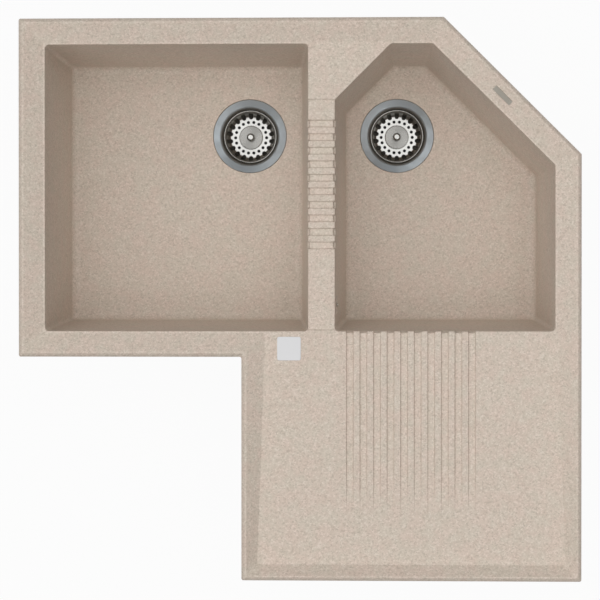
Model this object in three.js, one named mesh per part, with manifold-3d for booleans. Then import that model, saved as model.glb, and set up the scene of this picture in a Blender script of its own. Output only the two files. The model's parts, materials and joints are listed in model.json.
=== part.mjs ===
// Inset corner kitchen sink of moulded granite composite: two bowls, a grooved drainer, two basket
// wastes, an overflow, and the clips that pull it down on a worktop. Millimetres, +Z up.
// z = 0 is the top of the worktop that carries the rim. In plan the sink is an L. Its sharp inner corner
// is where the plan is measured from, X to the right and Y to the back; the last lines move the start of
// the frame to the inner corner of the worktop's cut-out, which lies cutoutInset inside both edges.
import * as THREE from 'three';
import * as BufferGeometryUtils from 'three/addons/utils/BufferGeometryUtils.js';
import Module from 'manifold-3d';

const wasm = await Module();
wasm.setup();

// Rim, deck and drainer
const overallSize = 830;        // both sides of the square that the L fits in
const wingDepth = 500;          // front to back of each wing
const cornerLeg = 202;          // each leg of the 45 degree cut at the back corner
const rimHeight = 10;           // top of the lip above the worktop
const edgeRadius = 4.5;         // round of the rim's outer edge
const planRadius = 3;           // round of the rim's corners in plan
const lipWidth = 2;             // flat top of the lip
const borderWidth = 38;         // outer edge to the edges of the bowls
const bowlLand = 0.6;           // flat strip between the foot of the border and a bowl's edge
const drainerEndBorder = 23.5;  // the same at the far end of the drainer
const deckDrop = 13;            // top of the lip down to the deck and the drainer
const deckThickness = 9;
const seatWidth = 16;           // flat underside of the rim
const skirtTaper = 2;           // lean of the step inside the seat
const cutoutInset = 10;         // outer edge of the rim to the edge of the worktop's cut-out
const ribThickness = 6;         // stiffening ribs under the drainer
const ribHeight = 9;

// Bowls
const bowlDepth = 194;          // deck down to the floor
const leftBowlShare = 0.5462;    // left bowl's share of the width of both bowls
const dividerWidth = 40;
const dividerDrop = 2;          // divider below the deck, so the left bowl spills into the right one
const notchShare = 0.572;       // 45 degree wall's share of the right bowl's back, beside the tap deck
const wallThickness = 9;
const floorThickness = 10;
const wallLean = 12;            // how far each wall comes in from the deck to the floor
const floorFillet = 14;
const bowlRadius = 6;           // round of the bowls' upright corners
const mouthRadius = 2;          // round of the bowls' top edge
const floorFall = 2;            // fall of the floor to the waste

// Grooves
const grooveCount = 10;         // in the drainer and in the divider
const grooveWidth = 10;         // the ridge between two grooves is as wide
const grooveDepth = 2;
const grooveSlope = 1;          // width of a groove's sloping side
const grooveEndGap = 82.5;      // ends of the drainer's grooves to its far border

// Tap hole, left closed by a skin and knocked out from below
const tapHoleDiameter = 35;
const tapHoleSkin = 4;
const tapHolePlace = 36;        // from the left bowl's edge and from the back bowl edges

// Wastes
const leftWasteInset = 97;      // divider to the left bowl's waste
const rightWasteShift = 11.5;   // back end of the right bowl's 45 degree wall to its waste
const wasteBack = 122;          // back edge of both bowls to the wastes
const wasteHoleDiameter = 91;
const wasteBossDiameter = 128;
const wasteBossHeight = 4;
const flangeDiameter = 115;
const flangeRecess = 2.5;
const steelThickness = 1;
const cupDiameter = 87.2;       // inside, just below the flange
const ledgeDepth = 12;          // flange down to the ledge that carries the basket
const ledgeWidth = 3.4;
const cupDepth = 43;            // flange down to the inside of the cup's bottom
const outletSlots = 6;
const outletInner = 10;
const outletOuter = 25;
const basketSlots = 18;
const basketSlotWidth = 6.8;
const basketHoleDiameter = 4;
const basketHoleCircle = 49.2;
const basketDepth = 22;         // ledge down to the underside of the basket
const basketBottomDiameter = 59;
const capDiameter = 37.2;       // raised middle of the basket
const capRise = 2;
const knobDiameter = 12;
const knobHeight = 13;
const stemDiameter = 6;
const spigotDiameter = 47.8;    // outlet of the waste body, for a 1 1/2 inch nut
const spigotBore = 38;
const spigotLength = 26;
const bodyDepth = 24;           // cup's bottom down to the top of the spigot
const plasticThickness = 3;
const bodyFlangeDiameter = 124;
const bodyFlangeThickness = 4;
const bodyNeck = 85;            // inside of the waste body, round the cup
const hubDiameter = 18;
const hubLength = 14;
const spiderRibs = 3;
const bushDiameter = 12;
const screwDiameter = 8;
const screwHeadDiameter = 15;
const screwHeadHeight = 4;
const socketDepth = 3.3;        // bore in the screw's head that takes the basket's stem
const stopperDiameter = 58;
const clampSealWidth = 13.5;
const clampSealThickness = 2;

// Overflow
const overflowDepth = 33;       // deck down to the middle of the slots
const overflowFront = 39;       // front edge of the right bowl to the middle of the slots
const overflowSlotWidth = 11;
const overflowSlotHeight = 14;
const overflowBridge = 6;
const elbowMargin = 3;          // elbow's walls outside the slots
const elbowDepth = 24;
const elbowThickness = 2.5;
const overflowScrewDiameter = 3;
const overflowSealThickness = 1.5;
const pipeDiameter = 16.4;      // spigots that the hose is pushed on
const pipeBore = 12;
const pipeLength = 30;
const hoseDiameter = 22;
const hoseBore = 18;
const hoseBend = 88;            // radius of the hose's bends
const nutDiameter = 27;
const nutLength = 16;
const inletDrop = 34;           // flange down to the overflow inlet of the right waste body

// Fixing kit
const clipInset = 23.5;         // outer edge of the rim to the clips' screws
const worktopThickness = 38;
const insertDiameter = 8;
const insertLength = 15;
const bossDiameter = 15;
const bossDrop = 10;            // bosses below the underside of the deck
const clipScrewDiameter = 5;
const clipScrewHead = 9.2;
const clipScrewHeadHeight = 3.5;
const clipScrewGrip = 4.5;      // length of the screw inside its insert at rest
const clipWidth = 15;
const clipReach = 22;            // screw to the clip's tip
const clipTip = 10;             // height of the turned-up tip
const clipThickness = 2;
const toothCount = 4;
const toothHeight = 1.5;

// Foam seal in the rim's groove, and the two bare plates
const sealInset = 2.5;
const sealWidth = 6;
const sealDepth = 2;
const tileSize = 35;
const tileRadius = 3;
const tileHeight = 0.8;
const tileFromBowl = 8.5;       // front edge of the left bowl to the tile
const tileFromEdge = 52.5;      // inner side edge of the rim to the tile
const plateLength = 34;
const plateWidth = 8;
const plateHeight = 0.6;
const plateInset = 20.5;        // cut edge of the rim to the middle of the plate

// Clearances
const contactGap = 0.3;         // between pieces that touch
const holeGap = 0.5;            // round a piece in its hole

// Levels and plan lines that follow from the sizes
const deckLevel = rimHeight - deckDrop;
const underside = deckLevel - deckThickness;
const floorLevel = deckLevel - bowlDepth;
const flangeLevel = floorLevel - floorFall;
const recessLevel = flangeLevel - flangeRecess;
const floorUnderside = floorLevel - floorThickness;
const clampLevel = floorUnderside - wasteBossHeight;
const right = wingDepth;
const left = wingDepth - overallSize;
const back = wingDepth;
const front = wingDepth - overallSize;
const bowlLeft = left + borderWidth;
const bowlBack = back - borderWidth;
const bowlFront = borderWidth;
const drainerGrooveLength = bowlFront - front - drainerEndBorder - grooveEndGap;
const bowlRight = right - borderWidth;
const dividerLeft = bowlLeft + leftBowlShare * (bowlRight - bowlLeft - dividerWidth);
const dividerRight = dividerLeft + dividerWidth;
const cutSum = right + back - cornerLeg - borderWidth * Math.SQRT2;  // x + y along the cut bowl wall
const notchLeg = notchShare * (cutSum - bowlBack - dividerRight);
const notchFront = bowlBack - notchLeg;
const wastePlaces = {
  left: [dividerLeft - leftWasteInset, bowlBack - wasteBack],
  right: [dividerRight + notchLeg + rightWasteShift, bowlBack - wasteBack],
};

const outline = points([[0, 0], [0, front], [right, front], [right, back - cornerLeg],
  [right - cornerLeg, back], [left, back], [left, 0]]);
const leftBowl = points([[bowlLeft, bowlFront], [dividerLeft, bowlFront],
  [dividerLeft, bowlBack], [bowlLeft, bowlBack]]);
const rightBowl = points([[dividerRight, bowlFront], [bowlRight, bowlFront],
  [bowlRight, cutSum - bowlRight], [cutSum - bowlBack, bowlBack],
  [dividerRight + notchLeg, bowlBack], [dividerRight, notchFront]]);

const finishes = {
  granite: { color: 0xcabbac, roughness: 0.6, metalness: 0 },
  steel: { color: 0xc4c6c6, roughness: 0.28, metalness: 1 },
  satinSteel: { color: 0xa9adad, roughness: 0.4, metalness: 1 },
  rubber: { color: 0x2a2a2a, roughness: 0.85, metalness: 0 },
  foam: { color: 0x3a3a3a, roughness: 0.95, metalness: 0 },
  plastic: { color: 0xe6e6e2, roughness: 0.45, metalness: 0 },
  brass: { color: 0xc9a45c, roughness: 0.35, metalness: 1 },
  zincSteel: { color: 0xb4b8ba, roughness: 0.42, metalness: 1 },
  whitePlate: { color: 0xdbdbdc, roughness: 0.35, metalness: 0 },
};

function points(pairs) {
  return pairs.map(([x, y]) => new THREE.Vector2(x, y));
}

// Moves every edge of a counter-clockwise loop inwards by a distance, with mitred corners.
function inset(loop, distance) {
  return loop.map((corner, i) => {
    const before = corner.clone().sub(loop.at(i - 1)).normalize();
    const after = loop[(i + 1) % loop.length].clone().sub(corner).normalize();
    const sum = new THREE.Vector2(-before.y - after.y, before.x + after.x);
    return corner.clone().addScaledVector(sum, distance / (1 + before.dot(after)));
  });
}

// Rounds every corner of a loop by an arc of the same number of steps.
function rounded(loop, radius, steps = 3) {
  return loop.flatMap((corner, i) => {
    const toBefore = loop.at(i - 1).clone().sub(corner).normalize();
    const toAfter = loop[(i + 1) % loop.length].clone().sub(corner).normalize();
    const half = Math.acos(THREE.MathUtils.clamp(toBefore.dot(toAfter), -1, 1)) / 2;
    const reach = radius / Math.tan(half);
    const centre = corner.clone().addScaledVector(
      toBefore.clone().add(toAfter).normalize(), radius / Math.sin(half));
    const first = corner.clone().addScaledVector(toBefore, reach).sub(centre);
    const last = corner.clone().addScaledVector(toAfter, reach).sub(centre);
    const turn = Math.atan2(first.cross(last), first.dot(last));
    return Array.from({ length: steps + 1 }, (_, k) =>
      first.clone().rotateAround(new THREE.Vector2(), turn * k / steps).add(centre));
  });
}

function raise(loop, height) {
  return loop.map((p) => new THREE.Vector3(p.x, p.y, height));
}

// Merges a geometry's shared vertices, drops faces without area and turns it right side out.
function closed(geometry) {
  const bare = geometry.clone();
  bare.deleteAttribute('normal');
  bare.deleteAttribute('uv');
  const merged = BufferGeometryUtils.mergeVertices(bare, 1e-4);
  const index = merged.index.array;
  const corners = [0, 1, 2].map(() => new THREE.Vector3());
  const faces = [];
  let volume = 0;
  for (let i = 0; i < index.length; i += 3) {
    const face = [index[i], index[i + 1], index[i + 2]];
    if (new Set(face).size < 3) continue;
    face.forEach((vertex, k) => corners[k].fromBufferAttribute(merged.attributes.position, vertex));
    volume += corners[0].dot(corners[1].clone().cross(corners[2]));
    faces.push(face);
  }
  merged.setIndex((volume < 0 ? faces.map((face) => face.reverse()) : faces).flat());
  merged.computeVertexNormals();
  return merged;
}

function solid(geometry) {
  const merged = closed(geometry);
  return new wasm.Manifold(new wasm.Mesh({
    numProp: 3,
    vertProperties: Float32Array.from(merged.attributes.position.array),
    triVerts: Uint32Array.from(merged.index.array),
  }));
}

function geometryOf(manifold) {
  const mesh = manifold.getMesh();
  const geometry = new THREE.BufferGeometry();
  geometry.setAttribute('position', new THREE.BufferAttribute(mesh.vertProperties, 3));
  geometry.setIndex(new THREE.BufferAttribute(mesh.triVerts, 1));
  geometry.computeVertexNormals();
  return geometry;
}

// A closed surface through rings of equally many points; the first and the last are capped.
function loft(rings) {
  const count = rings[0].length;
  const faces = [];
  for (let i = 0; i + 1 < rings.length; i++) {
    for (let j = 0; j < count; j++) {
      const a = i * count + j;
      const b = i * count + (j + 1) % count;
      faces.push(a, b, b + count, a, b + count, a + count);
    }
  }
  const lastRing = (rings.length - 1) * count;
  for (const [a, b, c] of THREE.ShapeUtils.triangulateShape(rings[0], [])) faces.push(c, b, a);
  for (const [a, b, c] of THREE.ShapeUtils.triangulateShape(rings.at(-1), [])) {
    faces.push(lastRing + a, lastRing + b, lastRing + c);
  }
  const geometry = new THREE.BufferGeometry();
  geometry.setAttribute('position',
    new THREE.Float32BufferAttribute(rings.flat().flatMap((p) => p.toArray()), 3));
  geometry.setIndex(faces);
  return geometry;
}

// Turns a profile of [radius, height] pairs about Z. One that stays off the axis closes on itself.
function revolve(profile, segments) {
  const path = points(profile);
  if (path[0].x > 0) path.push(path[0].clone());
  return new THREE.LatheGeometry(path, segments).rotateX(Math.PI / 2);
}

function block(width, depth, height, x, y, z) {
  return new THREE.BoxGeometry(width, depth, height).translate(x, y, z);
}

function rod(diameter, bottom, top, x = 0, y = 0, segments = 24) {
  return new THREE.CylinderGeometry(diameter / 2, diameter / 2, top - bottom, segments)
    .rotateX(Math.PI / 2).translate(x, y, (bottom + top) / 2);
}

function slab(shape, bottom, top, curveSegments = 6) {
  return new THREE.ExtrudeGeometry(shape, { depth: top - bottom, bevelEnabled: false, curveSegments })
    .translate(0, 0, bottom);
}

function around(count, make, phase = 0) {
  return Array.from({ length: count }, (_, i) => make(2 * Math.PI * (i + phase) / count));
}

const model = new THREE.Group();

function add(name, geometry, finish, parent = model) {
  const mesh = new THREE.Mesh(closed(geometry), new THREE.MeshStandardMaterial(finishes[finish]));
  mesh.name = name;
  parent.add(mesh);
  return mesh;
}

// How far a bowl's inner wall has come in from the mouth's edge at a height.
function leanAt(height) {
  return mouthRadius + wallLean * (deckLevel - height) / bowlDepth;
}

// The hollow of a bowl, from the edge of the waste recess up through the deck. The floor rises from the
// waste to the fillet, a quarter ring leads into the leaning wall, and the mouth's edge is rounded.
function bowlHollow(bowl, [wasteX, wasteY]) {
  const steps = 4;
  const ringAt = (height, inward) =>
    raise(rounded(inset(bowl, inward), bowlRadius), height);
  const fillet = Array.from({ length: steps + 1 }, (_, k) => {
    const angle = (k / steps) * Math.PI / 2;
    const height = floorLevel + floorFillet * (1 - Math.cos(angle));
    return ringAt(height, leanAt(floorLevel + floorFillet) + floorFillet * (1 - Math.sin(angle)));
  });
  const mouth = Array.from({ length: 3 }, (_, k) => {
    const angle = (k / 2) * Math.PI / 2;
    return ringAt(deckLevel - mouthRadius * (1 - Math.sin(angle)),
      leanAt(deckLevel) - mouthRadius * (1 - Math.cos(angle)));
  });
  const waste = new THREE.Vector3(wasteX, wasteY, flangeLevel);
  const drainRadius = flangeDiameter / 2 + 2;
  const drain = fillet[0].map((p) =>
    p.clone().setZ(flangeLevel).sub(waste).setLength(drainRadius).add(waste));
  return loft([drain, ...fillet, ...mouth, ringAt(rimHeight + 5, 0)]);
}

function bowlShell(bowl) {
  const outward = wallThickness;
  const corner = floorFillet * 0.6;
  const ringAt = (height, inward) =>
    raise(rounded(inset(bowl, inward - outward), bowlRadius + outward), height);
  const lean = leanAt(floorUnderside + corner);
  return loft([
    ringAt(floorUnderside, lean + corner),
    ringAt(floorUnderside + corner * 0.3, lean + corner * 0.3),
    ringAt(floorUnderside + corner, lean),
    ringAt(0, leanAt(0)),
  ]);
}

// The rim, border and deck as one plate. The underside has the flat seat and a step inside it.
function rimPlate() {
  const ringAt = (inward, height) => raise(rounded(inset(outline, inward), planRadius, 2), height);
  const edge = Array.from({ length: 4 }, (_, k) => {
    const angle = (k / 3) * Math.PI / 2;
    return ringAt(edgeRadius * (1 - Math.cos(angle)), rimHeight - edgeRadius * (1 - Math.sin(angle)));
  });
  return loft([
    ringAt(seatWidth + skirtTaper, underside),
    ringAt(seatWidth, 0),
    ringAt(0, 0),
    ...edge,
  ]);
}

// What is taken off above the deck: its foot follows the border's lower edge, and on the drainer the
// border narrows towards the far end, so its slope steepens on the way.
function deckHollow() {
  const spans = 5;
  const foot = inset(outline, borderWidth - bowlLand);
  foot.splice(3, 0, new THREE.Vector2(foot[3].x, bowlFront));
  foot[1].set(drainerEndBorder, front + drainerEndBorder);
  foot[2].set(right - drainerEndBorder, front + drainerEndBorder);
  const lipLine = inset(outline, edgeRadius + lipWidth);
  lipLine.splice(3, 0, new THREE.Vector2(lipLine[2].x, bowlFront));
  const divided = (loop) => loop.flatMap((corner, i) => {
    const next = loop[(i + 1) % loop.length];
    const count = i === 0 || i === 2 ? spans : 1;
    return Array.from({ length: count }, (_, k) => corner.clone().lerp(next, k / count));
  });
  return loft([
    raise(divided(foot), deckLevel),
    raise(divided(lipLine), rimHeight),
    raise(divided(lipLine), rimHeight + 5),
  ]);
}

// A groove's cross-section is a shallow trough; from its start it runs along +Y and may rise to nothing.
function groove(length, startDepth, endDepth) {
  const top = 1;
  const section = (y, depth) => {
    const slope = grooveSlope * (top + depth) / (grooveDepth + top);
    return [[-grooveWidth / 2 - grooveSlope / 2, top], [-grooveWidth / 2 - grooveSlope / 2 + slope, -depth],
      [grooveWidth / 2 + grooveSlope / 2 - slope, -depth], [grooveWidth / 2 + grooveSlope / 2, top]]
      .map(([x, z]) => new THREE.Vector3(x, y, z));
  };
  const near = section(0, startDepth);
  const far = section(length, endDepth);
  const faces = [[0, 1, 2], [0, 2, 3], [4, 6, 5], [4, 7, 6]];
  for (let i = 0; i < 4; i++) faces.push([i, i + 4, (i + 1) % 4], [(i + 1) % 4, i + 4, (i + 1) % 4 + 4]);
  const geometry = new THREE.BufferGeometry();
  geometry.setAttribute('position',
    new THREE.Float32BufferAttribute([...near, ...far].flatMap((p) => p.toArray()), 3));
  geometry.setIndex(faces.flat());
  return geometry;
}

function grooves() {
  const offsets = Array.from({ length: grooveCount }, (_, i) =>
    (i - (grooveCount - 1) / 2) * 2 * grooveWidth);
  const overlap = 3;
  const drainer = offsets.map((offset) => groove(drainerGrooveLength + overlap, grooveDepth, 0)
    .rotateZ(Math.PI).translate(right / 2 + offset, bowlFront + overlap, deckLevel));
  const divider = offsets.map((offset) =>
    groove(dividerWidth + 2 * overlap, grooveDepth, grooveDepth)
      .rotateZ(-Math.PI / 2)
      .translate(dividerLeft - overlap, (bowlFront + bowlBack) / 2 + offset, deckLevel - dividerDrop));
  return [...drainer, ...divider];
}

// Places of the clips: which edge of the outline, and how far along it.
const clipPlaces = [
  { name: 'inner_side', edge: 0, along: 0.5 },
  { name: 'drainer_end', edge: 1, along: 0.5 },
  { name: 'right_front', edge: 2, along: 0.25 },
  { name: 'right_back', edge: 2, along: 0.8 },
  { name: 'back_right', edge: 4, along: 0.2 },
  { name: 'back_left', edge: 4, along: 0.8 },
  { name: 'left_side', edge: 5, along: 0.5 },
  { name: 'front', edge: 6, along: 0.5 },
].map(({ name, edge, along }) => {
  const start = outline[edge];
  const direction = outline[(edge + 1) % outline.length].clone().sub(start);
  const outward = new THREE.Vector2(direction.y, -direction.x).normalize();
  const place = start.clone().addScaledVector(direction, along).addScaledVector(outward, -clipInset);
  return { name, x: place.x, y: place.y, angle: outward.angle() };
});
const bossLevel = underside - bossDrop;

function drainerRibs() {
  const low = front + seatWidth + skirtTaper + ribThickness;
  const high = bowlFront;
  const inner = seatWidth + skirtTaper + ribThickness;
  const level = underside + 1 - (ribHeight + 1) / 2;
  const lengthwise = [0.3, 0.7].map((share) =>
    block(ribThickness, high - low, ribHeight + 1, right * share, (low + high) / 2, level));
  const across = [0.2, 0.6].map((share) =>
    block(right - 2 * inner, ribThickness, ribHeight + 1, right / 2, low + (high - low) * share, level));
  return [...lengthwise, ...across];
}

// The overflow's group leans with the right bowl's left wall. Its X is square to the wall, with the
// wall's outside at x = 0 and the bowl on the +X side, and its origin is the middle of the slots.
const wallTilt = Math.atan2(wallLean, bowlDepth);
const overflowLevel = deckLevel - overflowDepth;
const overflow = new THREE.Group();
overflow.position.set(dividerRight + leanAt(overflowLevel) - wallThickness,
  bowlFront + overflowFront, overflowLevel);
overflow.rotation.y = -wallTilt;
overflow.updateMatrix();

// Two slots either side of a bridge, which the screw goes through.
function overflowHoles() {
  const shift = (overflowBridge + overflowSlotWidth) / 2;
  const depth = 4 * wallThickness;
  const slots = [-shift, shift].map((y) =>
    block(depth, overflowSlotWidth, overflowSlotHeight, wallThickness / 2, y, 0));
  const screwHole = alongX(rod(overflowScrewDiameter + 2 * contactGap, -depth / 2, depth / 2, 0, 0, 12));
  return [...slots, screwHole].map((geometry) => geometry.applyMatrix4(overflow.matrix));
}

function sinkBody() {
  const plus = [bowlShell(leftBowl), bowlShell(rightBowl), ...drainerRibs(),
    ...clipPlaces.map(({ x, y }) => rod(bossDiameter, bossLevel, underside + 3, x, y, 12)),
    ...Object.values(wastePlaces).map(([x, y]) =>
      rod(wasteBossDiameter, clampLevel, floorUnderside + 2, x, y, 24))];
  const tapHole = [dividerLeft + tapHolePlace, bowlBack - tapHolePlace];
  const minus = [
    deckHollow(),
    bowlHollow(leftBowl, wastePlaces.left),
    bowlHollow(rightBowl, wastePlaces.right),
    block(dividerWidth + 3 * mouthRadius, notchFront - bowlFront, rimHeight,
      (dividerLeft + dividerRight) / 2, (notchFront + bowlFront) / 2,
      deckLevel - dividerDrop + rimHeight / 2),
    ...grooves(),
    ...overflowHoles(),
    rod(tapHoleDiameter, underside - 1, deckLevel - tapHoleSkin, ...tapHole, 20),
    ...clipPlaces.map(({ x, y }) => rod(insertDiameter + 2 * contactGap, bossLevel - 1,
      bossLevel + insertLength + contactGap, x, y, 10)),
    ...Object.values(wastePlaces).flatMap(([x, y]) => [
      rod(flangeDiameter + 2 * holeGap, recessLevel, flangeLevel + 1, x, y, 30),
      rod(wasteHoleDiameter, clampLevel - 1, flangeLevel, x, y, 30)]),
    solidRing(outline, sealInset, sealInset + sealWidth, -1, sealDepth),
  ];
  let body = solid(rimPlate());
  for (const geometry of plus) body = body.add(solid(geometry));
  for (const geometry of minus) body = body.subtract(solid(geometry));
  return geometryOf(body);
}

// A flat band between two insets of a loop.
function solidRing(loop, outer, inner, bottom, top) {
  const shape = new THREE.Shape(inset(loop, outer));
  shape.holes.push(new THREE.Path(inset(loop, inner)));
  return slab(shape, bottom, top);
}

// The pressed steel cup: flange with its edge turned down, neck, ledge for the basket, and a bottom
// with kidney-shaped outlets round the hole for the screw.
function strainerCup() {
  const flangeRadius = flangeDiameter / 2;
  const neck = cupDiameter / 2;
  const t = steelThickness;
  const seat = neck - 1;
  const lower = seat - ledgeWidth;
  const edge = -flangeRecess + contactGap;
  const profile = [
    [flangeRadius, edge], [flangeRadius - 0.8, 0], [neck + 2, 0], [neck, -2.2], [seat, -ledgeDepth],
    [lower, -ledgeDepth], [lower - 0.6, -cupDepth + 4], [lower - 4, -cupDepth],
    [screwDiameter / 2 + contactGap, -cupDepth], [screwDiameter / 2 + contactGap, -cupDepth - t],
    [lower - 3.6, -cupDepth - t], [lower - 0.6 + t, -cupDepth + 3.6], [lower + t, -ledgeDepth - t],
    [seat + t, -ledgeDepth - t], [neck + t, -t], [flangeRadius - t, -t], [flangeRadius - t, edge]];
  const outlet = (angle) => {
    const half = 0.66 * Math.PI / outletSlots;
    const kidney = new THREE.Shape();
    kidney.absarc(0, 0, outletOuter, -half, half, false);
    kidney.absarc(0, 0, outletInner, half, -half, true);
    return slab(kidney, -cupDepth - 2 * t, -cupDepth + t, 3).rotateZ(angle);
  };
  let cup = solid(revolve(profile, 30));
  for (const cutter of around(outletSlots, outlet, 0.5)) cup = cup.subtract(solid(cutter));
  return geometryOf(cup);
}

// The basket: rolled rim on the cup's ledge, a wall with round-ended slots that run under into the
// bottom, so the bottom's edge stands in points between them, and a ring of holes round a raised cap.
const basketRimLevel = -ledgeDepth + contactGap;
const basketBottomLevel = -ledgeDepth - basketDepth;
const capLevel = basketBottomLevel + steelThickness + capRise;

function basket() {
  const t = steelThickness;
  const rim = cupDiameter / 2 - 1 - 2 * holeGap;
  const wall = cupDiameter / 2 - 1 - ledgeWidth - holeGap;
  const flat = basketBottomDiameter / 2;
  const cap = capDiameter / 2;
  const bottom = basketBottomLevel;
  const stemHole = stemDiameter / 2 + contactGap;
  const profile = [
    [rim, basketRimLevel], [rim - 0.6, basketRimLevel + 1.8], [rim - 2.6, basketRimLevel + 1.8],
    [wall - t, basketRimLevel - 0.4], [wall - 3.4, bottom + 6.5], [flat, bottom + t],
    [cap, bottom + t], [cap - 0.4, capLevel], [stemHole, capLevel], [stemHole, bottom],
    [flat + 0.6, bottom], [wall - 2.3, bottom + 6], [wall, basketRimLevel]];
  const slotCentre = flat + basketSlotWidth / 2;
  const slot = (angle) => {
    const shape = new THREE.Shape();
    shape.moveTo(rim + 3, -basketSlotWidth / 2);
    shape.lineTo(rim + 3, basketSlotWidth / 2);
    shape.lineTo(slotCentre, basketSlotWidth / 2);
    shape.absarc(slotCentre, 0, basketSlotWidth / 2, Math.PI / 2, 1.5 * Math.PI, false);
    return slab(shape, bottom - 1, basketRimLevel - 3, 3).rotateZ(angle);
  };
  const hole = (angle) => rod(basketHoleDiameter, bottom - 1, bottom + 2 * t,
    basketHoleCircle / 2, 0, 6).rotateZ(angle);
  let form = solid(revolve(profile, basketSlots * 2));
  for (const cutter of [...around(basketSlots, slot, 0.5), ...around(basketSlots, hole)]) {
    form = form.subtract(solid(cutter));
  }
  return geometryOf(form);
}

// Stem and knob in one: a mushroom head, a collar on the cap, and the stem down into the screw's head.
function knob() {
  const r = knobDiameter / 2;
  const top = capLevel + contactGap + knobHeight;
  const collar = capLevel + contactGap;
  const stem = stemDiameter / 2;
  return revolve([[0, top], [r * 0.7, top - 0.8], [r, top - 3.4], [r * 0.8, top - 6],
    [r * 0.5, top - 8], [r * 0.5, collar + 2], [r * 0.85, collar],
    [stem, collar], [stem, stemEnd], [0, stemEnd]], 14);
}

// Levels in the middle of a waste, measured from the flange
const screwHeadLevel = -cupDepth + contactGap + screwHeadHeight;
const stemEnd = screwHeadLevel - socketDepth + holeGap;
const hubLevel = -cupDepth - steelThickness - contactGap;
const clampDrop = flangeLevel - clampLevel;
const spigotLevel = -cupDepth - steelThickness - bodyDepth;

// The rubber bell that closes the outlets while the basket is down: a disc on the cup's bottom with a
// hat over the screw's head, fixed under the basket.
function stopperSeal() {
  const r = stopperDiameter / 2;
  const hole = stemDiameter / 2 + contactGap;
  const hat = screwHeadDiameter / 2 + 3.5;
  const top = basketBottomLevel - contactGap;
  const low = -cupDepth + contactGap;
  return revolve([[hole, top], [hole, top - 2.2], [hat, top - 2.2], [hat, low + 1.4], [r - 3, low + 1.4],
    [r - 2, low], [r, low], [r - 0.6, low + 2.9], [hat + 2.2, low + 2.9],
    [hat + 2, top]], 20);
}

// The ring that keeps the seal on the stem.
function stemClip() {
  const level = basketBottomLevel - 2.2 - 2 * contactGap;
  const inner = stemDiameter / 2 + contactGap;
  return revolve([[inner, level - 1], [inner + 3.2, level - 1], [inner + 3.2, level], [inner, level]], 12);
}

function centreScrew() {
  const head = screwHeadDiameter / 2;
  const socket = stemDiameter / 2 + contactGap;
  const shank = screwDiameter / 2;
  const low = -cupDepth + contactGap;
  return revolve([[0, screwHeadLevel - socketDepth], [socket, screwHeadLevel - socketDepth],
    [socket, screwHeadLevel], [head, screwHeadLevel], [head, low], [shank, low],
    [shank, hubLevel - hubLength - 2], [0, hubLevel - hubLength - 2]], 14);
}

function flatRing(innerDiameter, outerDiameter, bottom, top, segments = 24) {
  return revolve([[innerDiameter / 2, bottom], [outerDiameter / 2, bottom],
    [outerDiameter / 2, top], [innerDiameter / 2, top]], segments);
}

// A pipe along +X from a start to an end, and the nut over the hose's end on such a pipe. The nut's
// closed end faces the pipe's root.
const nutBack = pipeLength - nutLength + 2;

function alongX(geometry) {
  return geometry.rotateY(Math.PI / 2);
}

function hoseNut() {
  const hose = hoseDiameter / 2 + 2 * contactGap;
  const pipe = pipeDiameter / 2 + 2 * contactGap;
  const outer = nutDiameter / 2;
  return revolve([[pipe, nutBack], [outer - 1, nutBack], [outer, nutBack + 1],
    [outer, nutBack + nutLength], [hose, nutBack + nutLength], [hose, nutBack + 2],
    [pipe, nutBack + 2]], 16);
}

// The plastic cup under the bowl: a flange that clamps the bowl's floor, a neck round the steel cup, a
// funnel, the outlet spigot, and a three-ribbed spider that holds the screw's bush.
function wasteBody(hasInlet) {
  const flange = bodyFlangeDiameter / 2;
  const t = plasticThickness;
  const neck = bodyNeck / 2;
  const bore = spigotBore / 2;
  const spigot = spigotDiameter / 2;
  const top = -clampDrop - clampSealThickness - 2 * contactGap;
  const shoulder = -cupDepth - steelThickness;
  const inner = [[neck, top], [neck - 1, shoulder], [neck - 4, shoulder - 5], [bore, spigotLevel],
    [bore, spigotLevel - spigotLength]];
  const outer = [[spigot, spigotLevel - spigotLength], [spigot, spigotLevel - t],
    [neck - 4 + t, shoulder - 5 - t], [neck - 1 + t, shoulder - 1], [neck + t, top - bodyFlangeThickness],
    [flange, top - bodyFlangeThickness], [flange, top]];
  const wall = solid(revolve([...inner, ...outer], 24));
  const hollow = solid(revolve([[0, top + 1], [neck, top + 1], ...inner, [0, inner.at(-1)[1]]], 24));
  const hub = solid(rod(hubDiameter, hubLevel - hubLength, hubLevel));
  const rib = (angle) => solid(block(neck, t, hubLength - 2, neck / 2, 0, hubLevel - hubLength / 2 - 1)
    .rotateZ(angle));
  let body = wall.add(hub);
  const reach = solid(revolve([[0, top], ...inner.map(([r, z]) => [r + t / 2, z]),
    [0, inner.at(-1)[1]]], 24));
  for (const spoke of around(spiderRibs, rib)) body = body.add(spoke.intersect(reach));
  body = body.subtract(solid(rod(bushDiameter + 2 * contactGap, hubLevel - hubLength - 1, hubLevel + 1)));
  if (hasInlet) {
    const place = (geometry) => solid(alongX(geometry).translate(neck, 0, -inletDrop)
      .rotateZ(inletAngle));
    body = body.add(place(rod(pipeDiameter + 5, -1, nutBack - 2, 0, 0, 16)).subtract(hollow))
      .add(place(rod(pipeDiameter, 0, pipeLength, 0, 0, 16)))
      .subtract(place(rod(pipeBore, -4, pipeLength + 1, 0, 0, 12)));
  }
  return geometryOf(body);
}

// The overflow's elbow: a box open to the slots, with a boss for its screw and a pipe down. It stands
// behind the wall, towards -X of the overflow's group.
const elbowWidth = 2 * overflowSlotWidth + overflowBridge + 2 * elbowMargin;
const elbowHeight = overflowSlotHeight + 2 * elbowMargin;
const elbowBack = elbowDepth + overflowSealThickness + 2 * contactGap;
const pipeX = -elbowBack + elbowDepth / 2;

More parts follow.
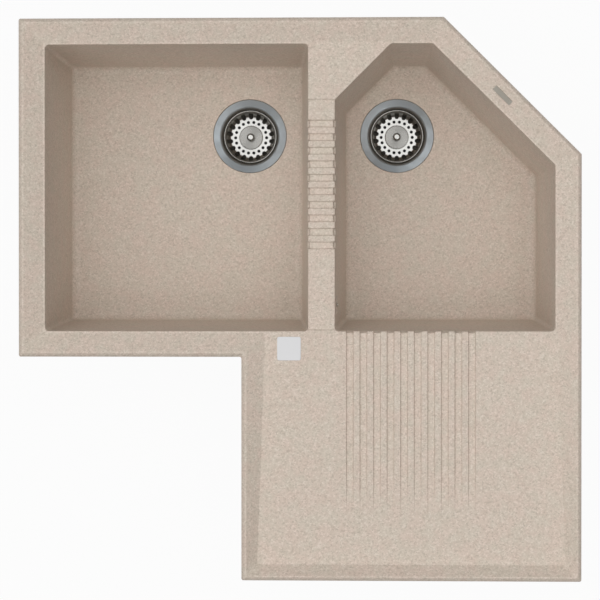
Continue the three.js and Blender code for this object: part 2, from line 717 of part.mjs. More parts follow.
function overflowElbow() {
  const t = elbowThickness;
  const box = solid(block(elbowDepth, elbowWidth, elbowHeight, pipeX, 0, 0));
  const inside = solid(block(elbowDepth, elbowWidth - 2 * t, elbowHeight - 2 * t, pipeX + t, 0, 0));
  const bottom = -elbowHeight / 2;
  const pipe = solid(rod(pipeDiameter, bottom - pipeLength, bottom + t / 2, pipeX, 0, 16));
  const bore = solid(rod(pipeBore, bottom - pipeLength - 1, bottom + t + 1, pipeX, 0, 12));
  const boss = solid(alongX(rod(overflowBridge + 2, -elbowBack + t / 2, pipeX + elbowDepth / 2, 0, 0, 14)));
  const screwHole = solid(alongX(rod(overflowScrewDiameter + 2 * contactGap,
    -elbowBack + 2 * t, 1, 0, 0, 12)));
  return geometryOf(box.subtract(inside).add(pipe).subtract(bore).add(boss).subtract(screwHole));
}

function overflowSeal() {
  const outer = solid(block(overflowSealThickness, elbowWidth, elbowHeight, 0, 0, 0));
  const opening = solid(block(2 * overflowSealThickness, elbowWidth - 2 * elbowThickness,
    elbowHeight - 2 * elbowThickness, 0, 0, 0));
  return geometryOf(outer.subtract(opening).translate([-overflowSealThickness / 2 - contactGap, 0, 0]));
}

// Pan head on the bridge inside the bowl, shank through it into the elbow's boss.
function overflowScrew() {
  const shank = overflowScrewDiameter / 2;
  const head = overflowBridge / 2;
  const face = wallThickness + contactGap;
  return alongX(revolve([[0, face + 2], [head * 0.7, face + 1.7], [head, face + 0.8], [head, face],
    [shank, face], [shank, -elbowDepth / 2], [0, -elbowDepth / 2 - 1.5]], 12));
}

// The hose's middle line: down along the leaning wall, a quarter bend to run below the floor, an eighth
// bend towards the waste, and straight on to the inlet. Both bends have hoseBend's radius.
const inletAngle = 1.25 * Math.PI;

function hosePath() {
  const [wasteX, wasteY] = wastePlaces.right;
  const level = flangeLevel - inletDrop;
  const inletReach = bodyNeck / 2 + nutBack + 2 + contactGap;
  const end = new THREE.Vector3(wasteX + inletReach * Math.cos(inletAngle),
    wasteY + inletReach * Math.sin(inletAngle), level);
  const start = new THREE.Vector3(pipeX, 0, -elbowHeight / 2 - nutBack - 2 - contactGap)
    .applyMatrix4(overflow.matrix);
  const down = new THREE.Vector3(Math.sin(wallTilt), 0, -Math.cos(wallTilt));
  const ahead = new THREE.Vector3(0, 1, 0);
  const diagonal = new THREE.Vector3(1, 1, 0).normalize();
  const straight = (start.z - level) / Math.cos(wallTilt) - hoseBend;
  const quarterStart = start.clone().addScaledVector(down, straight);
  const quarterEnd = quarterStart.clone().addScaledVector(down, hoseBend).addScaledVector(ahead, hoseBend);
  const eighth = new THREE.Vector3(hoseBend * (1 - Math.SQRT1_2), hoseBend * Math.SQRT1_2, 0);
  const eighthEnd = end.clone().addScaledVector(diagonal,
    -(end.x - quarterEnd.x - eighth.x) * Math.SQRT2);
  const eighthStart = eighthEnd.clone().sub(eighth);
  const path = new THREE.CurvePath();
  path.add(new THREE.LineCurve3(start, quarterStart));
  path.add(arc(quarterStart, down, quarterEnd, ahead, hoseBend));
  path.add(new THREE.LineCurve3(quarterEnd, eighthStart));
  path.add(arc(eighthStart, ahead, eighthEnd, diagonal, hoseBend));
  path.add(new THREE.LineCurve3(eighthEnd, end));
  return path;
}

// A circular bend as one cubic: its handles are 4/3 tan(turn / 4) radii long.
function arc(start, startWay, end, endWay, radius) {
  const handle = 4 / 3 * Math.tan(startWay.angleTo(endWay) / 4) * radius;
  return new THREE.CubicBezierCurve3(start, start.clone().addScaledVector(startWay, handle),
    end.clone().addScaledVector(endWay, -handle), end);
}

function overflowHose() {
  const section = new THREE.Shape().absarc(0, 0, hoseDiameter / 2, 0, 2 * Math.PI, false);
  section.holes.push(new THREE.Path().absarc(0, 0, hoseBore / 2, 0, 2 * Math.PI, true));
  return new THREE.ExtrudeGeometry(section, { steps: 24, curveSegments: 4, extrudePath: hosePath() });
}

// Fixing kit. Each clip stands with its screw on Z and reaches outwards along +X under the worktop.
const clipBase = -worktopThickness - clipTip;

function clipStrip() {
  const half = clipWidth / 2;
  const plan = new THREE.Shape();
  plan.moveTo(0, -half);
  plan.lineTo(clipReach, -half);
  plan.lineTo(clipReach, half);
  plan.lineTo(0, half);
  plan.absarc(0, 0, half, Math.PI / 2, 1.5 * Math.PI, false);
  plan.holes.push(new THREE.Path().absarc(0, 0, clipScrewDiameter / 2 + contactGap, 0, 2 * Math.PI, true));
  const tooth = clipWidth / toothCount;
  const edge = Array.from({ length: 2 * toothCount + 1 }, (_, i) =>
    [half - i * tooth / 2, -worktopThickness - (i % 2 ? toothHeight : 0)]);
  const tip = new THREE.Shape(points([[-half, clipBase - clipThickness], [half, clipBase - clipThickness],
    ...edge]));
  const tipPlate = slab(tip, clipReach - clipThickness, clipReach)
    .rotateX(Math.PI / 2).rotateZ(Math.PI / 2);
  return geometryOf(solid(slab(plan, clipBase - clipThickness, clipBase, 5)).add(solid(tipPlate)));
}

function clipScrew() {
  const shank = clipScrewDiameter / 2;
  const head = clipScrewHead / 2;
  const seat = clipBase - clipThickness - contactGap;
  const tip = bossLevel + clipScrewGrip;
  return revolve([[0, seat - clipScrewHeadHeight], [head, seat - clipScrewHeadHeight], [head, seat],
    [shank, seat], [shank, tip], [0, tip]], 10);
}

function clipInsert() {
  const outer = insertDiameter / 2;
  const bore = clipScrewDiameter / 2 + contactGap;
  const collar = outer + 1.5;
  return revolve([[bore, bossLevel - 1 - contactGap], [collar, bossLevel - 1 - contactGap],
    [collar, bossLevel - contactGap], [outer, bossLevel - contactGap],
    [outer, bossLevel + insertLength], [bore, bossLevel + insertLength]], 10);
}

function squareTile() {
  const corners = points([[0, 0], [tileSize, 0], [tileSize, tileSize], [0, tileSize]]);
  return slab(new THREE.Shape(rounded(corners, tileRadius)), 0, tileHeight);
}

function smallPlate() {
  const halfLength = plateLength / 2;
  const halfWidth = plateWidth / 2;
  const corners = points([[-halfLength, -halfWidth], [halfLength, -halfWidth],
    [halfLength, halfWidth], [-halfLength, halfWidth]]);
  return slab(new THREE.Shape(rounded(corners, 1, 2)), contactGap, contactGap + plateHeight);
}

// Assembly
add('sink_body', sinkBody(), 'granite');
add('rim_seal', solidRing(outline, sealInset + contactGap, sealInset + sealWidth - contactGap,
  0, sealDepth - contactGap), 'foam');
add('square_tile', squareTile(), 'whitePlate')
  .position.set(tileFromEdge, bowlFront - tileFromBowl - tileSize, deckLevel + contactGap);

// The small plate lies on the slope of the cut corner's border, parallel to the edge.
const slopeRun = borderWidth - bowlLand - edgeRadius - lipWidth;
const slope = Math.atan2(deckDrop, slopeRun);
const cutMiddle = outline[3].clone().add(outline[4]).multiplyScalar(0.5);
const plate = add('small_plate', smallPlate(), 'steel');
plate.position.set(cutMiddle.x - plateInset * Math.SQRT1_2, cutMiddle.y - plateInset * Math.SQRT1_2,
  rimHeight - deckDrop * (plateInset - edgeRadius - lipWidth) / slopeRun);
plate.rotation.set(slope, 0, -Math.PI / 4, 'ZYX');

for (const [side, [x, y]] of Object.entries(wastePlaces)) {
  const waste = new THREE.Group();
  waste.position.set(x, y, flangeLevel);
  model.add(waste);
  const seatRing = -flangeRecess + contactGap;
  add(`${side}_strainer_cup`, strainerCup(), 'satinSteel', waste);
  add(`${side}_flange_seal`, flatRing(cupDiameter + 6, flangeDiameter - 2 * steelThickness - 2 * holeGap,
    seatRing, -steelThickness - contactGap), 'rubber', waste);
  const clampSealDiameter = bodyFlangeDiameter - 4;
  add(`${side}_clamp_seal`, flatRing(clampSealDiameter - 2 * clampSealWidth, clampSealDiameter,
    -clampDrop - contactGap - clampSealThickness, -clampDrop - contactGap), 'rubber', waste);
  add(`${side}_waste_body`, wasteBody(side === 'right'), 'plastic', waste);
  add(`${side}_screw_bush`, flatRing(screwDiameter + 2 * contactGap, bushDiameter,
    hubLevel - hubLength + contactGap, hubLevel - contactGap, 12), 'brass', waste);
  add(`${side}_centre_screw`, centreScrew(), 'steel', waste);
  add(`${side}_basket`, basket(), 'steel', waste);
  add(`${side}_basket_knob`, knob(), 'steel', waste);
  add(`${side}_stopper_seal`, stopperSeal(), 'rubber', waste);
  add(`${side}_stem_clip`, stemClip(), 'steel', waste);
}

model.add(overflow);
add('overflow_elbow', overflowElbow(), 'plastic', overflow);
add('overflow_seal', overflowSeal(), 'rubber', overflow);
add('overflow_screw', overflowScrew(), 'steel', overflow);
add('overflow_hose', overflowHose(), 'plastic');
add('elbow_nut', hoseNut().rotateX(Math.PI), 'plastic', overflow)
  .position.set(pipeX, 0, -elbowHeight / 2);
const inletNut = add('inlet_nut', alongX(hoseNut()), 'plastic');
inletNut.position.set(wastePlaces.right[0] + bodyNeck / 2 * Math.cos(inletAngle),
  wastePlaces.right[1] + bodyNeck / 2 * Math.sin(inletAngle), flangeLevel - inletDrop);
inletNut.rotation.z = inletAngle;

for (const { name, x, y, angle } of clipPlaces) {
  const clip = new THREE.Group();
  clip.position.set(x, y, 0);
  clip.rotation.z = angle;
  model.add(clip);
  add(`clip_${name}`, clipStrip(), 'zincSteel', clip);
  add(`clip_screw_${name}`, clipScrew(), 'zincSteel', clip);
  add(`clip_insert_${name}`, clipInsert(), 'plastic', clip);
}

model.position.set(-cutoutInset, -cutoutInset, 0);

export default model;
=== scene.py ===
import json

import bmesh
import bpy
import numpy as np
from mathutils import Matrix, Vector
from mathutils.geometry import delaunay_2d_cdt

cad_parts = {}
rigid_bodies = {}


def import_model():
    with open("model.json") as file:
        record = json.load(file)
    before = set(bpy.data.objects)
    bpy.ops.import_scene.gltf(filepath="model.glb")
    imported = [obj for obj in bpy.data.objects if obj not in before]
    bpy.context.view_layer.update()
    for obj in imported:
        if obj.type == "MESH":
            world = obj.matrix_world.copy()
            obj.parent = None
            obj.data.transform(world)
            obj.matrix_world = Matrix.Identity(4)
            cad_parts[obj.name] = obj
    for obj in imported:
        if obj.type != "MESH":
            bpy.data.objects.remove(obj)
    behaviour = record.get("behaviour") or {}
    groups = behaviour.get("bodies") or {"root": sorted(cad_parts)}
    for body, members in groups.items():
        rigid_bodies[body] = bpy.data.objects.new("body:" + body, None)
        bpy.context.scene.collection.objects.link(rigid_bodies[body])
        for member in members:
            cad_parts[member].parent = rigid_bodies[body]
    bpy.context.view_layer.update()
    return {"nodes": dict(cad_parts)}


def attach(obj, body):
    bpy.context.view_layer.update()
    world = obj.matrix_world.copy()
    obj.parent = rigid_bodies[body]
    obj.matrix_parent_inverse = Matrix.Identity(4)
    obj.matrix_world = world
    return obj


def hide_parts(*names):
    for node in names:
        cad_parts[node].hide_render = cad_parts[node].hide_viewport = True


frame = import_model()
print("frame loaded:", len(frame["nodes"]), "nodes")

mm = 0.001
cutoutInset = 10        # the rim's outer edge to the start of the frame, both ways, in millimetres


# small tools for arrays, all in millimetres from the rim's inner corner

def unit(rows):
    # every row divided by its length
    return rows / np.maximum(np.linalg.norm(rows, axis=1, keepdims=True), 1e-9)


def insetLoop(loop, distance):
    # each corner moves along its mitre, so that every edge moves inwards by the distance
    before = unit(loop - np.roll(loop, 1, axis=0))
    after = unit(np.roll(loop, -1, axis=0) - loop)
    mitre = np.stack([-before[:, 1] - after[:, 1], before[:, 0] + after[:, 0]], axis=1)
    return loop + mitre * (distance / (1 + (before * after).sum(axis=1)))[:, None]


def cornerArcs(loop, radius, steps):
    # an arc of the radius in every corner, touching both edges: centre on the bisector, turned in steps
    toBefore = unit(np.roll(loop, 1, axis=0) - loop)
    toAfter = unit(np.roll(loop, -1, axis=0) - loop)
    half = np.arccos(np.clip((toBefore * toAfter).sum(axis=1), -1, 1)) / 2
    centre = loop + unit(toBefore + toAfter) * (radius / np.sin(half))[:, None]
    first = loop + toBefore * (radius / np.tan(half))[:, None] - centre
    last = loop + toAfter * (radius / np.tan(half))[:, None] - centre
    cross = first[:, 0] * last[:, 1] - first[:, 1] * last[:, 0]
    turn = np.arctan2(cross, (first * last).sum(axis=1))[:, None] * np.linspace(0, 1, steps + 1)
    x = first[:, :1] * np.cos(turn) - first[:, 1:] * np.sin(turn)
    y = first[:, :1] * np.sin(turn) + first[:, 1:] * np.cos(turn)
    return centre[:, None, :] + np.stack([x, y], axis=2)


def loopRing(loop, marks, radius, distance, steps):
    # arcs of the inset loop joined by the marks, which move square to their own edge; near a corner they
    # also make way for its arc: by its own shift, less two fifths of their distance from it
    base = cornerArcs(loop, radius, 1)
    corners = cornerArcs(insetLoop(loop, distance), radius, steps)
    parts = []
    for i, here in enumerate(loop):
        following = loop[(i + 1) % len(loop)]
        along = (following - here) / np.linalg.norm(following - here)
        inward = np.array([-along[1], along[0]])
        first, last = (base[i][-1] - here) @ along, (base[(i + 1) % len(loop)][0] - here) @ along
        push = (corners[i][-1] - here) @ along - first
        pull = (corners[(i + 1) % len(loop)][0] - here) @ along - last
        t = (marks[i] - here) @ along
        t = (t + np.sign(push) * np.maximum(0, abs(push) - (t - first) / 2.5)
             + np.sign(pull) * np.maximum(0, abs(pull) - (last - t) / 2.5))
        parts += [corners[i], here + along * t[:, None] + inward * distance]
    return np.concatenate(parts)


def rectangle(x0, y0, x1, y1):
    # its four corners, anticlockwise
    return np.array([[x0, y0], [x1, y0], [x1, y1], [x0, y1]], float)


def raised(flat, height):
    # plan points with their height, which may be one number or one for each point
    return np.column_stack([flat, np.broadcast_to(height, len(flat))])


def gridFaces(rows, columns, start=0, closed=True):
    # four-sided faces between the rings of a grid that is stored row by row
    row, column = np.meshgrid(np.arange(rows - 1), np.arange(columns if closed else columns - 1),
                              indexing="ij")
    following = (column + 1) % columns
    a = start + row * columns + column
    b = start + row * columns + following
    return np.stack([a, b, b + columns, a + columns], axis=2).reshape(-1, 4)


def insideLoop(points, loop):
    # even and odd crossings of a ray along +X
    x, y = points[:, :1], points[:, 1:]
    ax, ay = loop[:, 0], loop[:, 1]
    bx, by = np.roll(loop, -1, axis=0).T
    crosses = (ay > y) != (by > y)
    slope = np.where(by == ay, 1, by - ay)
    return (crosses & (x < ax + (y - ay) * (bx - ax) / slope)).sum(axis=1) % 2 == 1


class Surface:
    # patches of vertices and faces that are welded into one mesh at the end
    def __init__(self):
        self.vertices = []
        self.faces = []
        self.count = 0

    def add(self, vertices, faces):
        self.vertices.append(vertices)
        self.faces += [[int(v) + self.count for v in face] for face in faces]
        self.count += len(vertices)

    def rings(self, rings):
        # a band of faces through rings of equally many points
        self.add(np.concatenate(rings), gridFaces(len(rings), len(rings[0])))

    def fill(self, outer, holes, lines, height, flip=False):
        # triangles between an outer loop and its holes, along inner lines, lifted by a height function
        loops = [outer, *holes, *lines]
        starts = np.cumsum([0] + [len(loop) for loop in loops])
        edges = []
        for k, loop in enumerate(loops):
            index = np.arange(starts[k], starts[k] + len(loop))
            follow = np.roll(index, -1)
            pairs = np.stack([index, follow], axis=1)
            edges += (pairs if k <= len(holes) else pairs[:-1]).tolist()
        flat = np.concatenate(loops)
        made = delaunay_2d_cdt([Vector(p) for p in flat], edges, [], 0, 1e-4)
        plan = np.array([tuple(v) for v in made[0]])
        triangles = np.array(made[2])
        middle = plan[triangles].mean(axis=1)
        keep = insideLoop(middle, outer)
        for hole in holes:
            keep &= ~insideLoop(middle, hole)
        triangles = triangles[keep]
        self.add(raised(plan, height(plan)), triangles[:, ::-1] if flip else triangles)


def added(name, data):
    # a new object in the scene
    made = bpy.data.objects.new(name, data)
    bpy.context.scene.collection.objects.link(made)
    return made


def meshPiece(name, vertices, faces, weld=0.003):
    # vertices in millimetres from the rim's corner become a mesh in the frame, with its doubles welded
    mesh = bpy.data.meshes.new(name)
    placed = (np.asarray(vertices, float) - [cutoutInset, cutoutInset, 0]) * mm
    mesh.from_pydata(placed.tolist(), [], [list(map(int, face)) for face in faces])
    work = bmesh.new()
    work.from_mesh(mesh)
    bmesh.ops.remove_doubles(work, verts=work.verts, dist=weld * mm)
    bmesh.ops.dissolve_degenerate(work, edges=work.edges, dist=weld * mm)
    bmesh.ops.delete(work, geom=[edge for edge in work.edges if not edge.link_faces], context="EDGES")
    bmesh.ops.delete(work, geom=[vert for vert in work.verts if not vert.link_faces], context="VERTS")
    bmesh.ops.recalc_face_normals(work, faces=work.faces)
    work.to_mesh(mesh)
    openEdges = sum(1 for edge in work.edges if len(edge.link_faces) != 2)
    work.free()
    print(f"{name}: {len(mesh.vertices)} vertices, {openEdges} open edges")
    return added(name, mesh)


# the sink's body
basin = {
    "overall": 830,           # both sides of the square that the L fits in
    "wing": 500,              # front to back of each wing
    "cut": 202,               # legs of the 45 degree cut at the back corner
    "lip": 10,                # top of the rim above the worktop
    "deck": -3,               # deck and drainer, just below the top of the worktop
    "underside": -12,
    "edgeRound": 5.8,
    "edgeBulge": 1.55,        # power of the edge's curve: 1 is a circle, 2 a chamfer
    "planRound": 3,
    "lipWidth": 1.5,
    "border": 38,             # outer edge to the bowls
    "endBorder": 23.5,        # the same at the drainer's far end
    "bowlLand": 2,            # foot of the border to the bowl's nominal edge
    "footRound": 2,
    "seat": 16,               # flat underside of the rim
    "skirtTaper": 2,
    "sealInset": 2.5,         # groove for the foam seal
    "sealWidth": 6,
    "sealDepth": 2,
    "bowlDepth": 194,
    "leftShare": 0.5462,      # left bowl's share of the width of both bowls
    "divider": 40,
    "dividerDrop": 2,
    "dividerShift": 4.5,      # its grooves lie this much behind the bowls' middle
    "stepSide": 2.3,          # width of the rounded steps at its two ends
    "stepFront": 0.4,         # the front step starts this far behind the bowls' front edge
    "stepBack": 1.3,          # and the rear one this far behind the start of the 45 degree wall's arc
    "notchShare": 0.572,      # 45 degree wall's share of the right bowl's back
    "wall": 9,
    "floor": 10,
    "lean": 12,               # how far each wall comes in down to the floor
    "fillet": 14,
    "bowlRound": 6,
    "mouthRound": 2,          # inset of the walls at the top
    "flare": 2.2,             # the inner walls open this much wider again at the mouth
    "mouthEdge": 1.2,         # radius of the mouth's round edge
    "floorFall": 2,
    "grooves": 10,
    "grooveWidth": 10,
    "grooveDepth": 2.8,
    "grooveSide": 1.9,        # width of a groove's rounded side
    "grooveEndGap": 68,
    "spill": 4.5,             # grooves run this much lower at a bowl's edge
    "spillLength": 2.4,
    "recessRound": 0.6,
    "flange": 115,            # diameter of the strainer's flange, and the recess for it
    "recess": 2.5,
    "wasteHole": 91,
    "boss": 128,
    "bossHeight": 4,
    "leftWasteInset": 97,
    "rightWasteShift": 11.5,
    "wasteBack": 122,
}

wing = basin["wing"]
far = wing - basin["overall"]                      # left end of the back wing and front end of the drainer
bowlLeft = far + basin["border"]
bowlBack = wing - basin["border"]
bowlFront = basin["border"]
bowlRight = wing - basin["border"]
dividerLeft = bowlLeft + basin["leftShare"] * (bowlRight - bowlLeft - basin["divider"])
dividerRight = dividerLeft + basin["divider"]
cutSum = 2 * wing - basin["cut"] - basin["border"] * 2 ** 0.5
notchLeg = basin["notchShare"] * (cutSum - bowlBack - dividerRight)
notchFront = bowlBack - notchLeg
floorLevel = basin["deck"] - basin["bowlDepth"]
flangeLevel = floorLevel - basin["floorFall"]
recessLevel = flangeLevel - basin["recess"]
floorUnderside = floorLevel - basin["floor"]
clampLevel = floorUnderside - basin["bossHeight"]
wastes = {
    "left": (dividerLeft - basin["leftWasteInset"], bowlBack - basin["wasteBack"]),
    "right": (dividerRight + notchLeg + basin["rightWasteShift"], bowlBack - basin["wasteBack"]),
}
outline = np.array([[0, 0], [0, far], [wing, far], [wing, wing - basin["cut"]],
                    [wing - basin["cut"], wing], [far, wing], [far, 0]], float)
mouths = {
    "left": rectangle(bowlLeft, bowlFront, dividerLeft, bowlBack),
    "right": np.array([[dividerRight, bowlFront], [bowlRight, bowlFront],
                       [bowlRight, cutSum - bowlRight], [cutSum - bowlBack, bowlBack],
                       [dividerRight + notchLeg, bowlBack], [dividerRight, notchFront]]),
}
mouthSteps = 8                                     # steps of each arc in a bowl's corner
grooveSides = np.linspace(-0.5, 0.5, 6) * basin["grooveSide"] + basin["grooveWidth"] / 2
grooveLines = np.concatenate([-grooveSides[::-1], grooveSides])
grooveOffsets = (np.arange(basin["grooves"]) - (basin["grooves"] - 1) / 2) * 2 * basin["grooveWidth"]
drainerMiddle = wing / 2
dividerMiddle = (bowlFront + bowlBack) / 2 + basin["dividerShift"]
mouthOut = basin["flare"] + basin["mouthEdge"] - basin["mouthRound"]     # mouth's edge past the nominal line
arcStart = notchFront + (mouthOut - basin["bowlRound"]) * np.tan(np.pi / 8)
grooveEnd = far + basin["endBorder"] + basin["grooveEndGap"]


def smoothStep(share):
    # 0 to 1 with level ends: 3s^2 - 2s^3
    s = np.clip(share, 0, 1)
    return s * s * (3 - 2 * s)


def grooveShare(across):
    # 1 on a groove's bottom, 0 on the ridge, and a smooth step over the rounded side
    nearest = np.abs(across[:, None] - grooveOffsets).min(axis=1)
    return 1 - smoothStep((nearest - grooveSides[0]) / basin["grooveSide"])


def groovesAt(plan):
    # whether each point is on the divider, with the bowls' corners beside it, and its share of the divider's
    # grooves and of the drainer's
    x, y = plan[:, 0], plan[:, 1]
    beside, behind = 7, 3
    onDivider = ((x > dividerLeft - beside) & (x < dividerRight + beside)
                 & (y > bowlFront) & (y < notchFront + behind))
    drainerShare = (y <= bowlFront) * grooveShare(x - drainerMiddle)
    return onDivider, onDivider * grooveShare(y - dividerMiddle), drainerShare


def spillOver(distance):
    # how much further a groove runs down near a bowl's edge: a parabola that starts at the spill's length
    return basin["spill"] * np.clip(1 - distance / basin["spillLength"], 0, 1) ** 2


def deckHeight(plan):
    # the deck, less the drop of the divider, less the grooves, which spill over the bowls' edges and fade
    # out along the drainer as 1 - (1 - s)^5
    x, y = plan[:, 0], plan[:, 1]
    onDivider, dividerShare, drainerShare = groovesAt(plan)
    front = smoothStep((y - bowlFront - basin["stepFront"]) / basin["stepSide"])
    drop = front * (1 - smoothStep((y - arcStart - basin["stepBack"]) / basin["stepSide"]))
    fade = 1 - (1 - np.clip((y - grooveEnd) / (bowlFront - grooveEnd), 0, 1)) ** 5
    toBowl = np.minimum(x - dividerLeft, dividerRight - x) - mouthOut
    return (basin["deck"] - onDivider * basin["dividerDrop"] * drop
            - dividerShare * (basin["grooveDepth"] + spillOver(toBowl))
            - drainerShare * (basin["grooveDepth"] * fade + spillOver(bowlFront - mouthOut - y)))


def sideMarks(loop, side, wanted=()):
    # points along one side of a loop: those wanted, and evenly spread ones between them
    start, end = loop[side], loop[(side + 1) % len(loop)]
    length = np.linalg.norm(end - start)
    clear, spacing = 17, 11                  # past the round of the corners, and about from point to point
    run = length - 2 * clear
    even = np.arange(clear, length - clear + 1, run / max(1, round(run / spacing)))
    wanted = np.sort(np.array(wanted, float))
    if len(wanted):
        even = even[np.abs(even[:, None] - wanted).min(axis=1) > 1.0]
    return start + (end - start) * (np.sort(np.concatenate([even, wanted])) / length)[:, None]


def mouthMarks():
    # where grooves and the divider's steps meet the bowls' edges, and even points on every side
    acrossDivider = (dividerMiddle + (grooveOffsets[:, None] + grooveLines)).ravel() - bowlFront
    acrossDrainer = (drainerMiddle + (grooveOffsets[:, None] + grooveLines)).ravel() - dividerRight
    turn = np.linspace(0, np.pi / 4, mouthSteps + 1)
    stepBack = arcStart + basin["bowlRound"] * np.sin(turn) - bowlFront
    left = mouths["left"]
    right = mouths["right"]
    wantedLeft = {1: np.concatenate([acrossDivider, stepBack])}
    wantedRight = {0: acrossDrainer, 5: notchFront - bowlFront - acrossDivider}
    return {"left": [sideMarks(left, k, wantedLeft.get(k, ())) for k in range(len(left))],
            "right": [sideMarks(right, k, wantedRight.get(k, ())) for k in range(len(right))]}


marks = mouthMarks()


def bowlRing(side, height, inward, extra=0):
    # the bowl's loop moved inwards, or outwards by the wall, at a height
    flat = loopRing(mouths[side], marks[side], basin["bowlRound"] + extra, inward - extra, mouthSteps)
    return raised(flat, height)


def leanAt(height):
    # the wall comes in evenly from the mouth's round down to the floor
    return basin["mouthRound"] + basin["lean"] * (basin["deck"] - height) / basin["bowlDepth"]


def insideLean(height):
    # the same for the inner wall, which also opens evenly by the flare from the floor's fillet up
    filletTop = floorLevel + basin["fillet"]
    return leanAt(height) - basin["flare"] * (height - filletTop) / (basin["deck"] - filletTop)


def circleOf(ring, side, radius, height):
    # a ring's points drawn in to a circle round the waste, along straight lines to its middle
    middle = np.array(wastes[side])
    return raised(middle + unit(ring[:, :2] - middle) * radius, height)


def bowlRings(side):
    # mouth's round, which the grooves leave out, leaning wall, fillet, falling floor, recess, hole, boss and
    # the shell outside
    quarter = np.linspace(np.pi / 2, 0, 6)
    mouth = loopRing(mouths[side], marks[side], basin["bowlRound"], -mouthOut, mouthSteps)
    top = deckHeight(mouth)
    r = basin["mouthEdge"]
    rings = [bowlRing(side, top - r * (1 - np.sin(a)), r * np.cos(a) - mouthOut) for a in quarter]
    grooved = groovesAt(mouth)[1] + groovesAt(mouth)[2]
    for ring in rings:
        ring[:, :2] += (mouth - ring[:, :2]) * grooved[:, None]
    filletTop = floorLevel + basin["fillet"]
    firstRing = basin["deck"] - 12                 # below the lowest part of the mouth's edge
    rings += [bowlRing(side, z, insideLean(z)) for z in np.linspace(firstRing, filletTop, 9)]
    f = basin["fillet"]
    for a in np.linspace(0, np.pi / 2, 10)[1:]:
        inward = leanAt(filletTop) + f * (1 - np.cos(a))
        rings.append(bowlRing(side, floorLevel + f * (1 - np.sin(a)), inward))
    edge = rings[-1]
    drainRadius = basin["flange"] / 2 + 2
    drain = circleOf(edge, side, drainRadius, flangeLevel)
    for share in np.linspace(0, 1, 13)[1:]:
        ring = edge + (drain - edge) * share
        ring[:, 2] = floorLevel - basin["floorFall"] * smoothStep(share * 0.98 + 0.02)
        rings.append(ring)
    recess = basin["flange"] / 2 + 0.5
    hole = basin["wasteHole"] / 2
    boss = basin["boss"] / 2
    e = basin["recessRound"]
    rings += [circleOf(edge, side, radius, z) for radius, z in [
        (recess + e, flangeLevel), (recess + 0.3 * e, flangeLevel - 0.3 * e), (recess, flangeLevel - e),
        (recess, recessLevel + 0.3), (recess - 0.3, recessLevel), (hole + e, recessLevel),
        (hole + 0.3 * e, recessLevel - 0.3 * e), (hole, recessLevel - e), (hole, clampLevel + 0.5),
        (hole + 0.5, clampLevel), (boss - 0.8, clampLevel), (boss - 0.2, clampLevel + 0.2),
        (boss, clampLevel + 0.8), (boss, floorUnderside - 1.5), (boss + 0.5, floorUnderside - 0.4),
        (boss + 1.5, floorUnderside)]]
    corner = 0.8 * basin["fillet"]
    lean = leanAt(floorUnderside + corner)
    under = bowlRing(side, floorUnderside, lean + corner, basin["wall"])
    bossEdge = rings[-1]
    rings += [bossEdge + (under - bossEdge) * share for share in np.linspace(0, 1, 5)[1:]]
    for a in np.linspace(np.pi / 2, 0, 7)[1:]:
        rings.append(bowlRing(side, floorUnderside + corner * (1 - np.sin(a)),
                              lean + corner * (1 - np.cos(a)), basin["wall"]))
    level = basin["underside"]
    rings += [bowlRing(side, z, leanAt(z), basin["wall"])
              for z in np.linspace(floorUnderside + corner, level, 7)[1:]]
    return rings


def rimMarks():
    # stations along the drainer's two long sides, where the border widens towards the bowls
    down = np.linspace(far + 40, -20, 10)
    rows = [np.zeros((0, 2))] * len(outline)
    rows[0] = np.column_stack([0 * down, down[::-1]])
    rows[2] = np.column_stack([np.full(len(down) + 1, float(wing)), np.append(down, bowlFront)])
    return rows


def footRing(steps):
    # lower edge of the border: it keeps its distance round the bowls and spreads out along the drainer
    inner = basin["border"] - basin["bowlLand"]
    corners = insetLoop(outline, inner)
    end = basin["endBorder"]
    corners[1] = [end, far + end]
    corners[2] = [wing - end, far + end]
    arcs = cornerArcs(corners, basin["footRound"], steps)
    rows = rimMarks()
    sideY = rows[0][:, 1]
    rows[0][:, 0] = np.interp(sideY, [far + end, inner], [end, inner])
    sideY = rows[2][:, 1]
    rows[2][:, 0] = np.interp(sideY, [far + end, bowlFront], [wing - end, wing - inner])
    return np.concatenate([np.concatenate([arcs[i], rows[i]]) for i in range(len(outline))])


def rimRings(steps=6):
    # skirt, seat, seal groove, rounded outer edge, lip, and the slope down to the deck
    rows = rimMarks()

    def at(inward, height):
        return raised(loopRing(outline, rows, basin["planRound"], inward, steps), height)

    seat, taper, level = basin["seat"], basin["skirtTaper"], basin["underside"]
    near = basin["sealInset"]
    deep = near + basin["sealWidth"]
    depth = basin["sealDepth"]
    rings = [at(seat + taper, level), at(seat + 0.3, -0.9), at(seat, 0), at(deep, 0), at(deep, depth),
             at(near, depth), at(near, 0), at(0.5, 0), at(0.15, 0.15), at(0, 0.5)]
    r = basin["edgeRound"]
    bulge = basin["edgeBulge"]
    rings += [at(r * (1 - np.cos(a) ** bulge), basin["lip"] - r * (1 - np.sin(a) ** bulge))
              for a in np.linspace(0, np.pi / 2, 11)]
    lipEdge = loopRing(outline, rows, basin["planRound"], r + basin["lipWidth"] - 0.5, steps)
    foot = footRing(steps)
    soft = 0.07                                    # share of the slope that each of its ends is rounded over
    for share in [0, 0.02, 0.045, soft, 0.5, 1 - soft, 0.965, 0.985, 1]:
        head = share ** 2 / (2 * soft) if share < soft else share - soft / 2
        fall = (head if share <= 1 - soft else 1 - soft - (1 - share) ** 2 / (2 * soft)) / (1 - soft)
        height = basin["lip"] - (basin["lip"] - basin["deck"]) * fall
        rings.append(raised(lipEdge + (foot - lipEdge) * share, height))
    return rings


